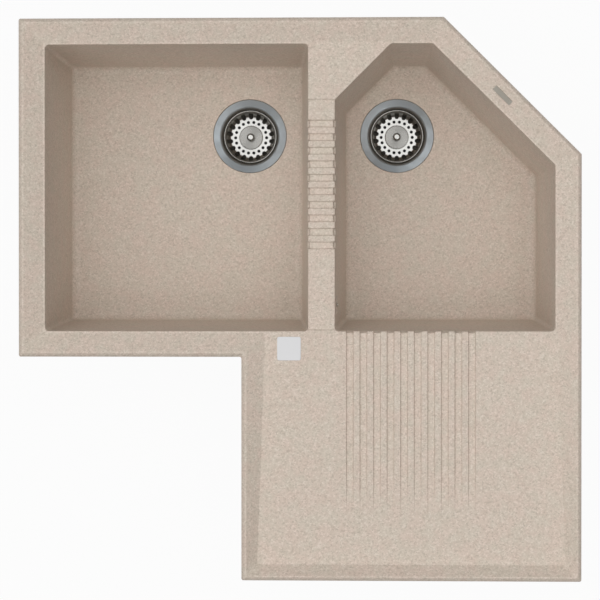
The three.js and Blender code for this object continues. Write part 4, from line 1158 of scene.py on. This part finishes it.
plates = {
    "tile": 35,
    "tileRound": 3,
    "tileHeight": 0.8,
    "tileFromBowl": 8.5,
    "tileFromEdge": 52.5,
    "tileCrown": 0.4,         # height and width of its soft upper edge
    "length": 34,             # small plate on the slope of the cut corner's border
    "width": 8,
    "round": 1.2,
    "height": 0.6,
    "crown": 0.3,
    "inset": 20.5,            # cut edge of the rim to the plate's middle
}


def cushionPlate(corners, radius, bottom, height, crown):
    # a flat plate with rounded corners and a soft upper edge: rings move inwards while they rise
    none = [np.zeros((0, 2))] * len(corners)
    inwards = [0, 0, 0.15 * crown, 0.5 * crown, crown]
    heights = [bottom, bottom + height - crown, bottom + height - 0.4 * crown, bottom + height - 0.1 * crown,
               bottom + height]
    rings = [raised(loopRing(corners, none, radius, a, 6), z) for a, z in zip(inwards, heights)]
    return np.concatenate(rings), closedBand(len(rings), len(rings[0]))


def squareTile():
    # a flat square, level on the deck
    size = plates["tile"]
    x = plates["tileFromEdge"]
    y = bowlFront - plates["tileFromBowl"] - size
    form = cushionPlate(rectangle(x, y, x + size, y + size), plates["tileRound"],
                        basin["deck"] + waste["gap"], plates["tileHeight"], plates["tileCrown"])
    return finished(meshPiece("square_tile_moulded", *form), "sink", "white_plate", "square_tile")


def smallPlate():
    # a strip tilted like the border's slope: about X by the angle whose tangent is drop over run
    half, side = plates["length"] / 2, plates["width"] / 2
    vertices, faces = cushionPlate(rectangle(-half, -side, half, side), plates["round"], waste["gap"],
                                   plates["height"], plates["crown"])
    run = basin["border"] - basin["bowlLand"] - basin["edgeRound"] - basin["lipWidth"]
    drop = basin["lip"] - basin["deck"]
    slope = np.arctan2(drop, run)
    c, s = np.cos(slope), np.sin(slope)
    tilted = np.column_stack([vertices[:, 0], vertices[:, 1] * c - vertices[:, 2] * s,
                              vertices[:, 1] * s + vertices[:, 2] * c])
    middle = (outline[3] + outline[4]) / 2 - plates["inset"] / 2 ** 0.5
    height = basin["lip"] - drop * (plates["inset"] - basin["edgeRound"] - basin["lipWidth"]) / run
    piece = meshPiece("small_plate_pressed", moved(tilted, turn=-np.pi / 4, to=(*middle, height)), faces)
    finished(piece, "sink", "steel", "small_plate")
    piece["finish"] = "nickel"
    return piece


below = {
    "ribWidth": 6,
    "ribDepth": 9,
    "ribInset": 6,            # ribs' ends to the inside of the rim
    "longRibs": (0.3, 0.7),   # shares of the wing's width
    "crossRibs": (0.2, 0.6),  # shares of the drainer's length
    "tapHole": 35,
    "tapSkin": 4,             # of the deck that is left over the tap's knock-out
    "tapInset": 36,           # from the left bowl's right and back edges
}


def rib(x0, y0, x1, y1):
    # a drafted bar under the deck, wider at its foot
    corners = rectangle(x0, y0, x1, y1)
    foot = cornerArcs(insetLoop(corners, -0.6), np.full(4, 1.2), 3).reshape(-1, 2)
    edge = cornerArcs(insetLoop(corners, 0.4), np.full(4, 1.0), 3).reshape(-1, 2)
    lower = raised(edge, basin["underside"] - below["ribDepth"])
    return np.concatenate([lower, raised(foot, basin["underside"] + 1)]), closedBand(2, len(foot))


def bodyDetails(body):
    # ribs below the drainer, bosses for the clips, the tap's knock-out, then the overflow's holes
    inner = basin["seat"] + basin["skirtTaper"] + below["ribInset"]
    low = far + inner
    half = below["ribWidth"] / 2
    for x in wing * np.array(below["longRibs"]):
        carve(body, *rib(x - half, low, x + half, bowlFront), "UNION")
    for y in low + (bowlFront - low) * np.array(below["crossRibs"]):
        carve(body, *rib(inner, y - half, wing - inner, y + half), "UNION")
    under = basin["underside"]
    places = [clipPlace(name) for name in clipSpots]
    carve(body, *many(rod(clip["boss"] / 2, bossLevel, under + 3, 48, 3, 0.8), places), "UNION")
    top = bossLevel + clip["insertLength"] + waste["gap"]
    carve(body, *many(rod(clip["insert"] / 2 + waste["gap"], bossLevel - 1, top, 40), places))
    r = below["tapHole"] / 2
    top = basin["deck"] - below["tapSkin"]
    knock = turned([(0, under - 1, 0), (r + 0.3, under - 1, 0), (r, top, 1.5), (0, top, 0)], 64, 4)
    carve(body, *put(knock, to=(dividerLeft + below["tapInset"], bowlBack - below["tapInset"], 0)))
    for vertices, faces in overflowHoles():
        carve(body, atOverflow(vertices), faces)


def hexColour(code):
    # sRGB hex to linear red, green, blue and alpha
    channel = np.array([int(code[i:i + 2], 16) for i in (1, 3, 5)]) / 255
    linear = np.where(channel <= 0.04045, channel / 12.92, ((channel + 0.055) / 1.055) ** 2.4)
    return (*[float(v) for v in linear], 1.0)


def addNode(tree, kind, settings=None, inputs=None):
    # one node with its settings, its values, and a link wherever an input is given another node's output
    made = tree.nodes.new(kind)
    for name, value in (settings or {}).items():
        setattr(made, name, value)
    for name, value in (inputs or {}).items():
        if isinstance(value, bpy.types.NodeSocket):
            tree.links.new(value, made.inputs[name])
        else:
            made.inputs[name].default_value = value
    return made


def newMaterial(name, base, roughness, metallic=0.0, **more):
    # a material with its shader's plain values set
    material = bpy.data.materials.new(name)
    material.use_nodes = True
    tree = material.node_tree
    shader = tree.nodes["Principled BSDF"]
    shader.inputs["Base Color"].default_value = hexColour(base)
    shader.inputs["Roughness"].default_value = roughness
    shader.inputs["Metallic"].default_value = metallic
    for name, value in more.items():
        shader.inputs[name].default_value = value
    return material, tree, shader


granite = {
    "dark": "#C0B3A6",
    "deep": "#CBBEB1",
    "colour": "#D1C4B7",
    "light": "#D7CABE",
    "bright": "#DED2C7",
    "greenTint": "#ECEEE8",
    "rosyTint": "#F4EAE6",
    "tint": 0.5,
    "grain": 1.8,             # mm across a grain as drawn: real ones are 0.2 to 0.7 mm and wouldn't show
    "cluster": 4.2,           # mm across the clusters of like grains
    "clouds": 26.0,           # mm across the faint green and rosy clouds
    "roughness": 0.5,
    "relief": 0.05,           # mm of height between grains
}


def quartzComposite():
    # quartz sand in acrylic resin, cast in a mould: a dry satin surface, most grains near the resin's tint,
    # a few dark and a few nearly white, so that it looks speckled like fine granite
    material, tree, shader = newMaterial("quartz composite, cast", granite["colour"], granite["roughness"])
    shader.inputs["Specular IOR Level"].default_value = 0.35
    place = addNode(tree, "ShaderNodeTexCoord").outputs["Object"]
    grains = addNode(tree, "ShaderNodeTexVoronoi", None,
                     {"Vector": place, "Scale": 1 / (granite["grain"] * mm)})
    clusters = addNode(tree, "ShaderNodeTexNoise", None,
                       {"Vector": place, "Scale": 1 / (granite["cluster"] * mm), "Detail": 1.0})
    pick = addNode(tree, "ShaderNodeSeparateColor", None, {"Color": grains.outputs["Color"]})
    shift = addNode(tree, "ShaderNodeMapRange", {"clamp": False},
                    {"Value": clusters.outputs["Fac"], "From Min": 0.3, "From Max": 0.7,
                     "To Min": -0.14, "To Max": 0.14})
    tone = addNode(tree, "ShaderNodeMath", {"operation": "ADD"},
                   {0: pick.outputs["Red"], 1: shift.outputs["Result"]})
    ramp = addNode(tree, "ShaderNodeValToRGB", None, {"Fac": tone.outputs[0]})
    stops = [(0.02, "dark"), (0.14, "deep"), (0.5, "colour"), (0.84, "light"), (0.97, "bright")]
    while len(ramp.color_ramp.elements) < len(stops):
        ramp.color_ramp.elements.new(0.5)
    for element, (position, name) in zip(ramp.color_ramp.elements, stops):
        element.position = position
        element.color = hexColour(granite[name])
    clouds = addNode(tree, "ShaderNodeTexNoise", None,
                     {"Vector": place, "Scale": 1 / (granite["clouds"] * mm), "Detail": 3.0,
                      "Roughness": 0.65})
    balance = addNode(tree, "ShaderNodeMapRange", None,
                      {"Value": clouds.outputs["Fac"], "From Min": 0.38, "From Max": 0.62})
    tint = addNode(tree, "ShaderNodeMix", {"data_type": "RGBA"},
                   {0: balance.outputs["Result"], 6: hexColour(granite["greenTint"]),
                    7: hexColour(granite["rosyTint"])})
    colour = addNode(tree, "ShaderNodeMix", {"data_type": "RGBA", "blend_type": "MULTIPLY"},
                     {0: granite["tint"], 6: ramp.outputs["Color"], 7: tint.outputs[2]})
    tree.links.new(colour.outputs[2], shader.inputs["Base Color"])
    bump = addNode(tree, "ShaderNodeBump", None,
                   {"Height": pick.outputs["Blue"], "Distance": granite["relief"] * mm, "Strength": 0.6})
    tree.links.new(bump.outputs["Normal"], shader.inputs["Normal"])
    return material


steel = {
    "polished": "#E9E8E4",
    "satin": "#BBC2C6",
    "dull": "#75716A",        # where a pressing is left as drawn, or brushed, and painted shade deep in the cup and basket
    "dullRoughness": 0.18,    # added there
    "dullCap": 0.5,           # how dull the basket's brushed cap is, and how dark the painted shade on its wall and rim is
    "wallShade": 0.8,
    "rimShade": 0.4,
    "nickel": "#B9B3A8",
    "smudge": 11.1,           # mm across the faint smudges
}


def spunSteel(name, colour, roughness, stretch):
    # stainless sheet pressed and finished on a lathe: its sheen is stretched across the turning marks, and
    # where a piece is marked as dull it is greyer and scatters more; deep in the waste that grey is painted
    # shade
    material, tree, shader = newMaterial(name, colour, roughness, 1.0, Anisotropic=stretch)
    # the mark mixes in the dark grey: brushed steel, and painted shade deep in the cup and basket
    dull = addNode(tree, "ShaderNodeAttribute", {"attribute_name": "dull"})
    tone = addNode(tree, "ShaderNodeMix", {"data_type": "RGBA"},
                   {0: dull.outputs["Fac"], 6: hexColour(colour), 7: hexColour(steel["dull"])})
    tree.links.new(tone.outputs[2], shader.inputs["Base Color"])
    across = addNode(tree, "ShaderNodeAttribute", {"attribute_name": "across"})
    tree.links.new(across.outputs["Vector"], shader.inputs["Tangent"])
    place = addNode(tree, "ShaderNodeTexCoord").outputs["Object"]
    smudge = addNode(tree, "ShaderNodeTexNoise", None,
                     {"Vector": place, "Scale": 1 / (steel["smudge"] * mm), "Detail": 3.0})
    rough = addNode(tree, "ShaderNodeMapRange", None,
                    {"Value": smudge.outputs["Fac"], "From Min": 0.3, "From Max": 0.7,
                     "To Min": roughness * 0.85, "To Max": roughness * 1.2})
    duller = addNode(tree, "ShaderNodeMath", {"operation": "MULTIPLY_ADD"},
                     {0: dull.outputs["Fac"], 1: steel["dullRoughness"], 2: rough.outputs["Result"]})
    tree.links.new(duller.outputs[0], shader.inputs["Roughness"])
    return material


zinc = {
    "colour": "#B9BEC0",
    "dark": "#A4A9AA",
    "light": "#CCD0D1",
    "clouds": 3.85,           # mm across the plating's clouds
}


def platedSteel():
    # zinc-plated steel: cool grey, cloudy, half bright
    material, tree, shader = newMaterial("steel, zinc plated", zinc["colour"], 0.42, 1.0)
    place = addNode(tree, "ShaderNodeTexCoord").outputs["Object"]
    clouds = addNode(tree, "ShaderNodeTexNoise", None,
                     {"Vector": place, "Scale": 1 / (zinc["clouds"] * mm), "Detail": 4.0})
    colour = addNode(tree, "ShaderNodeMix", {"data_type": "RGBA"},
                     {0: clouds.outputs["Fac"], 6: hexColour(zinc["dark"]), 7: hexColour(zinc["light"])})
    tree.links.new(colour.outputs[2], shader.inputs["Base Color"])
    rough = addNode(tree, "ShaderNodeMapRange", None,
                    {"Value": clouds.outputs["Fac"], "From Min": 0.3, "From Max": 0.7,
                     "To Min": 0.34, "To Max": 0.5})
    tree.links.new(rough.outputs["Result"], shader.inputs["Roughness"])
    return material


brass = {
    "colour": "#C9A45C",
    "line": 0.35,             # mm from ring to ring as drawn: a tool leaves finer ones that wouldn't show
    "depth": 0.02,
}


def turnedBrass():
    # brass bar turned on a lathe: warm yellow with fine rings round the axis
    material, tree, shader = newMaterial("brass, turned", brass["colour"], 0.32, 1.0)
    place = addNode(tree, "ShaderNodeTexCoord").outputs["Object"]
    split = addNode(tree, "ShaderNodeSeparateXYZ", None, {"Vector": place})
    rings = addNode(tree, "ShaderNodeTexNoise", {"noise_dimensions": "1D"},
                    {"W": split.outputs["Z"], "Scale": 1 / (brass["line"] * mm), "Detail": 1.0})
    bump = addNode(tree, "ShaderNodeBump", None,
                   {"Height": rings.outputs["Fac"], "Distance": brass["depth"] * mm, "Strength": 0.5})
    tree.links.new(bump.outputs["Normal"], shader.inputs["Normal"])
    return material


rubber = {
    "colour": "#2A2A2B",
    "dark": "#222223",
    "light": "#3A3A3B",
    "bloom": 3.125,           # mm across the patches of bloom
}


def mouldedRubber():
    # nitrile rubber, moulded: nearly black, matt, with a faint bloom
    material, tree, shader = newMaterial("nitrile rubber, moulded", rubber["colour"], 0.8)
    place = addNode(tree, "ShaderNodeTexCoord").outputs["Object"]
    bloom = addNode(tree, "ShaderNodeTexNoise", None,
                    {"Vector": place, "Scale": 1 / (rubber["bloom"] * mm), "Detail": 4.0})
    colour = addNode(tree, "ShaderNodeMix", {"data_type": "RGBA"},
                     {0: bloom.outputs["Fac"], 6: hexColour(rubber["dark"]), 7: hexColour(rubber["light"])})
    tree.links.new(colour.outputs[2], shader.inputs["Base Color"])
    return material


foam = {
    "colour": "#3C3C3C",
    "hollow": "#4A4A4A",
    "wall": "#2E2E2E",
    "cell": 0.714,            # mm across a cell
    "depth": 0.15,
}


def cellFoam():
    # closed-cell polyethylene strip: dark grey, with the cells that were cut open showing on its skin
    material, tree, shader = newMaterial("polyethylene foam, cut", foam["colour"], 0.95)
    place = addNode(tree, "ShaderNodeTexCoord").outputs["Object"]
    cells = addNode(tree, "ShaderNodeTexVoronoi", {"feature": "DISTANCE_TO_EDGE"},
                    {"Vector": place, "Scale": 1 / (foam["cell"] * mm)})
    colour = addNode(tree, "ShaderNodeMix", {"data_type": "RGBA"},
                     {0: cells.outputs["Distance"], 6: hexColour(foam["hollow"]), 7: hexColour(foam["wall"])})
    tree.links.new(colour.outputs[2], shader.inputs["Base Color"])
    bump = addNode(tree, "ShaderNodeBump", None,
                   {"Height": cells.outputs["Distance"], "Distance": foam["depth"] * mm, "Strength": 0.6})
    tree.links.new(bump.outputs["Normal"], shader.inputs["Normal"])
    return material


plastic = {
    "colour": "#E4E4DF",
    "dark": "#DEDED8",
    "light": "#E9E9E5",
    "flow": 22.2,             # mm across the cloudy flow of the melt
    "grain": 0.556,           # mm across the mould's spark-eroded grain as drawn: the real one is finer
    "depth": 0.03,
}


def mouldedPlastic():
    # polypropylene, injection moulded: milky off-white, a waxy sheen and a fine spark-eroded grain
    material, tree, shader = newMaterial("polypropylene, moulded", plastic["colour"], 0.42)
    shader.inputs["Subsurface Weight"].default_value = 0.05
    shader.inputs["Subsurface Radius"].default_value = (0.002, 0.002, 0.0018)
    place = addNode(tree, "ShaderNodeTexCoord").outputs["Object"]
    flow = addNode(tree, "ShaderNodeTexNoise", None,
                   {"Vector": place, "Scale": 1 / (plastic["flow"] * mm), "Detail": 3.0})
    colour = addNode(tree, "ShaderNodeMix", {"data_type": "RGBA"},
                     {0: flow.outputs["Fac"], 6: hexColour(plastic["dark"]), 7: hexColour(plastic["light"])})
    tree.links.new(colour.outputs[2], shader.inputs["Base Color"])
    texture = addNode(tree, "ShaderNodeTexNoise", None,
                      {"Vector": place, "Scale": 1 / (plastic["grain"] * mm), "Detail": 2.0})
    bump = addNode(tree, "ShaderNodeBump", None,
                   {"Height": texture.outputs["Fac"], "Distance": plastic["depth"] * mm, "Strength": 0.4})
    tree.links.new(bump.outputs["Normal"], shader.inputs["Normal"])
    return material


lacquer = {
    "colour": "#DBDBDC",
    "peel": 1.667,            # mm across the orange peel of the sprayed coat
    "depth": 0.02,
}


def whiteLacquer():
    # white lacquered plate, left bare: even, half glossy, with a trace of orange peel
    material, tree, shader = newMaterial("white lacquered plate", lacquer["colour"], 0.35)
    place = addNode(tree, "ShaderNodeTexCoord").outputs["Object"]
    peel = addNode(tree, "ShaderNodeTexNoise", None,
                   {"Vector": place, "Scale": 1 / (lacquer["peel"] * mm), "Detail": 2.0})
    bump = addNode(tree, "ShaderNodeBump", None,
                   {"Height": peel.outputs["Fac"], "Distance": lacquer["depth"] * mm, "Strength": 0.3})
    tree.links.new(bump.outputs["Normal"], shader.inputs["Normal"])
    return material


finishes = {
    "granite": quartzComposite(),
    "steel": spunSteel("stainless steel, polished", steel["polished"], 0.18, 0.4),
    "satin_steel": spunSteel("stainless steel, spun and brushed", steel["satin"], 0.4, 0.85),
    "nickel": spunSteel("nickel plate, brushed", steel["nickel"], 0.36, 0.5),
    "rubber": mouldedRubber(),
    "foam": cellFoam(),
    "plastic": mouldedPlastic(),
    "brass": turnedBrass(),
    "zinc_steel": platedSteel(),
    "white_plate": whiteLacquer(),
}
print("materials made:", len(finishes))


# all pieces
body = sinkBody()
bodyDetails(body)
finished(body, "sink", "granite", "sink_body")
print("sink body made")
rimSeal()
squareTile()
smallPlate()
for side in wastes:
    strainerCup(side)
    basket(side)
    wasteSmallPieces(side)
    wasteBody(side)
print("wastes made")
overflowHose()
overflowScrew()
dressed("overflow_elbow", "sink", "plastic", 0.8, 3)
dressed("overflow_seal", "sink", "rubber", 0.3)
hoseNut("elbow_nut", lambda grid: atOverflow(grid * [1, -1, -1] + [pipeX, 0, -elbowHeight / 2]))
hoseNut("inlet_nut", lambda grid: moved(lying(grid) + [waste["neck"] / 2, 0, 0], **inletPlace))
print("overflow made")
for name in clipSpots:
    clipStrip(name)
    clipScrew(name)
    clipInsert(name)
print("clips made")


def turningMarks(piece, side):
    # two attributes on every vertex: the direction across the turning marks, which is square to the normal
    # and to the way round the waste's axis, and how dull the steel is: the basket's brushed cap, with painted
    # shade on the basket's wall and rim and on the cup below its flange, deep in the waste
    mesh = piece.data
    count = len(mesh.vertices)
    places, normals = np.zeros(count * 3, np.float32), np.zeros(count * 3, np.float32)
    mesh.vertices.foreach_get("co", places)
    mesh.vertices.foreach_get("normal", normals)
    middle = (np.array([*wastes[side], flangeLevel]) - [cutoutInset, cutoutInset, 0]) * mm
    away = (places.reshape(-1, 3) - middle) / mm
    radius = np.linalg.norm(away[:, :2], axis=1)
    around = np.column_stack([-away[:, 1], away[:, 0], 0 * radius])
    across = unit(np.cross(around, normals.reshape(-1, 3)))
    stored = mesh.attributes.new("across", "FLOAT_VECTOR", "POINT")
    stored.data.foreach_set("vector", across.astype(np.float32).ravel())
    inBasket = "basket_pressed" in piece.name
    onCap = (abs(radius - waste["cap"] / 4) < waste["cap"] / 4 - 0.4) & (abs(away[:, 2] - capLevel) < 0.3)
    # painted shade: the basket's wall and rim are darkened, deep in the waste
    onWall = inBasket & (radius > waste["basketBottom"] / 2 - 0.2)
    onRim = inBasket & (away[:, 2] > rimLevel + 1)
    # painted shade: the cup darkens from just below its flange down
    cupShade = ("cup" in piece.name) * smoothStep((-1.6 - away[:, 2]) / 1.4)
    dull = onCap * steel["dullCap"] + (onWall & ~onRim) * steel["wallShade"] + onRim * steel["rimShade"]
    stored = mesh.attributes.new("dull", "FLOAT", "POINT")
    stored.data.foreach_set("value", np.maximum(dull, cupShade).astype(np.float32))


for piece in list(bpy.data.objects):
    if piece.type == "MESH" and "finish" in piece:
        piece.data.materials.clear()
        piece.data.materials.append(finishes[piece["finish"]])
        if piece["finish"] in ("steel", "satin_steel", "nickel"):
            turningMarks(piece, "left" if "left_" in piece.name else "right")
for node in frame["nodes"].values():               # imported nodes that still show
    if not node.hide_render:
        print("still shown:", node.name)


# the camera hangs over the sink with a long lens and looks down, within two degrees of straight
view = {
    "lens": 123.84,
    "place": (0.17845, 0.09488, 3.0447),
    "turn": (-0.0069, 0.0335, 0),
}
camera = added("camera", bpy.data.cameras.new("camera"))
camera.data.lens = view["lens"]
camera.location = view["place"]
camera.rotation_euler = view["turn"]
bpy.context.scene.camera = camera
bpy.context.scene.view_settings.view_transform = "Standard"

studio = {
    "surround": 0.88,         # brightness of the white surround
    "left": 0.40,             # how much brighter it is on the left and darker on the right
    "back": 0.10,             # the same towards the back and the front
    "middle": (0.178, 0.095), # under the camera, in metres like the other lengths here
    "curtain": 4.0,           # radius of the dark curtain round the set
    "curtainTop": (1.5, 2.1), # its height at the sides, and at the front and back
    "flagStart": 0.75,        # two black flags that only gloss and metal show, from here to their ends
    "flagEnd": (3.5, 7.0),    # end of the front one and of the back one
    "flagShare": 0.7,         # their half width as a share of the distance
    "flagMiddle": (0.03, 0.74),
    "flagHeight": 5.0,
    "flagTurn": -20,          # degrees that the flags are turned about their middle
    "lamp": 51,               # watts of the overhead soft box
    "lampSize": 3.2,
    "lampHeight": 4.2,
    "floor": -0.303,
    "floorReach": 15.0,
    "paper": 0.95,            # share of the floor that is plain white to the eye; the rest keeps the shadow
}
middle = np.array(studio["middle"])


def seenDirectly(tree):
    # 1 for what the eye sees, straight or in metal or glass, where the surround and floor are plain white
    path = addNode(tree, "ShaderNodeLightPath")
    straight = addNode(tree, "ShaderNodeMath", {"operation": "MAXIMUM"},
                       {0: path.outputs["Is Camera Ray"], 1: path.outputs["Is Glossy Ray"]})
    return addNode(tree, "ShaderNodeMath", {"operation": "MAXIMUM"},
                   {0: straight.outputs[0], 1: path.outputs["Is Transmission Ray"]}).outputs[0]


world = bpy.data.worlds.new("studio")
bpy.context.scene.world = world
world.use_nodes = True
sky = world.node_tree
toSky = addNode(sky, "ShaderNodeSeparateXYZ", None,
                {"Vector": addNode(sky, "ShaderNodeTexCoord").outputs["Generated"]})
sideways = addNode(sky, "ShaderNodeMath", {"operation": "MULTIPLY_ADD"},
                   {0: toSky.outputs["X"], 1: -studio["left"], 2: studio["surround"]})
lengthways = addNode(sky, "ShaderNodeMath", {"operation": "MULTIPLY_ADD"},
                     {0: toSky.outputs["Y"], 1: studio["back"], 2: sideways.outputs[0]})
strength = addNode(sky, "ShaderNodeMix", {"data_type": "FLOAT"},
                   {0: seenDirectly(sky), 2: lengthways.outputs[0], 3: 1.0})
ground = sky.nodes["Background"]
ground.inputs["Color"].default_value = (1, 1, 1, 1)
sky.links.new(strength.outputs[0], ground.inputs["Strength"])
world.cycles.sampling_method = "NONE"              # gloss finds the surround by its own rays, past the flags


def stagePiece(name, vertices, faces, material):
    # a piece of the studio, in metres
    mesh = bpy.data.meshes.new(name)
    mesh.from_pydata(np.asarray(vertices, float).tolist(), [], np.asarray(faces).tolist())
    mesh.materials.append(material)
    made = added(name, mesh)
    return made


# the curtain keeps low light off, so that slopes and steps show: height = sides + (ends - sides) sin^2 t
cloth = newMaterial("black cotton cloth, brushed", "#1C1C1C", 0.95)[0]    # matt: hardly any light comes back
ring = circle(studio["curtain"], 64)
atSides, atEnds = studio["curtainTop"]
top = atSides + (atEnds - atSides) * (ring[:, 1] / studio["curtain"]) ** 2
ring = middle + ring
hem = studio["floor"] + 0.05
curtain = stagePiece("dark curtain", np.concatenate([raised(ring, hem), raised(ring, top)]),
                     gridFaces(2, 64)[:, ::-1], cloth)
curtain.visible_camera = False

# the flags are fans that start near the zenith: the half width is a share of the distance
near, share = studio["flagStart"], studio["flagShare"]
for name, side, end in (("front flag", -90, studio["flagEnd"][0]), ("back flag", 90, studio["flagEnd"][1])):
    fan = np.array([[near, -near * share], [near, near * share], [end, end * share], [end, -end * share]])
    spread = moved(raised(fan, studio["flagHeight"]), turn=np.radians(side + studio["flagTurn"]),
                   to=(*studio["flagMiddle"], 0))
    flag = stagePiece(name, spread, [[0, 1, 2, 3]], cloth)
    flag.visible_camera = flag.visible_diffuse = flag.visible_shadow = flag.visible_transmission = False

lamp = added("overhead soft box", bpy.data.lights.new("overhead soft box", "AREA"))
lamp.data.energy = studio["lamp"]
lamp.data.size = studio["lampSize"]
lamp.location = (*middle, studio["lampHeight"])    # it shines straight down
lamp.visible_glossy = False

# matt paper: a pale grey for the light, and nearly plain white for the eye
paper, tree, shader = newMaterial("studio paper, matt", "#C4C4C4", 0.9)
glow = addNode(tree, "ShaderNodeEmission", None, {"Color": (1, 1, 1, 1), "Strength": 1.0})
share = addNode(tree, "ShaderNodeMath", {"operation": "MULTIPLY"},
                {0: seenDirectly(tree), 1: studio["paper"]})
mixed = addNode(tree, "ShaderNodeMixShader", None,
                {0: share.outputs[0], 1: shader.outputs[0], 2: glow.outputs[0]})
tree.links.new(mixed.outputs[0], tree.nodes["Material Output"].inputs["Surface"])
reach = studio["floorReach"]
stagePiece("floor", raised(rectangle(-reach, -reach, reach, reach), studio["floor"]), [[0, 1, 2, 3]], paper)
print("studio made")
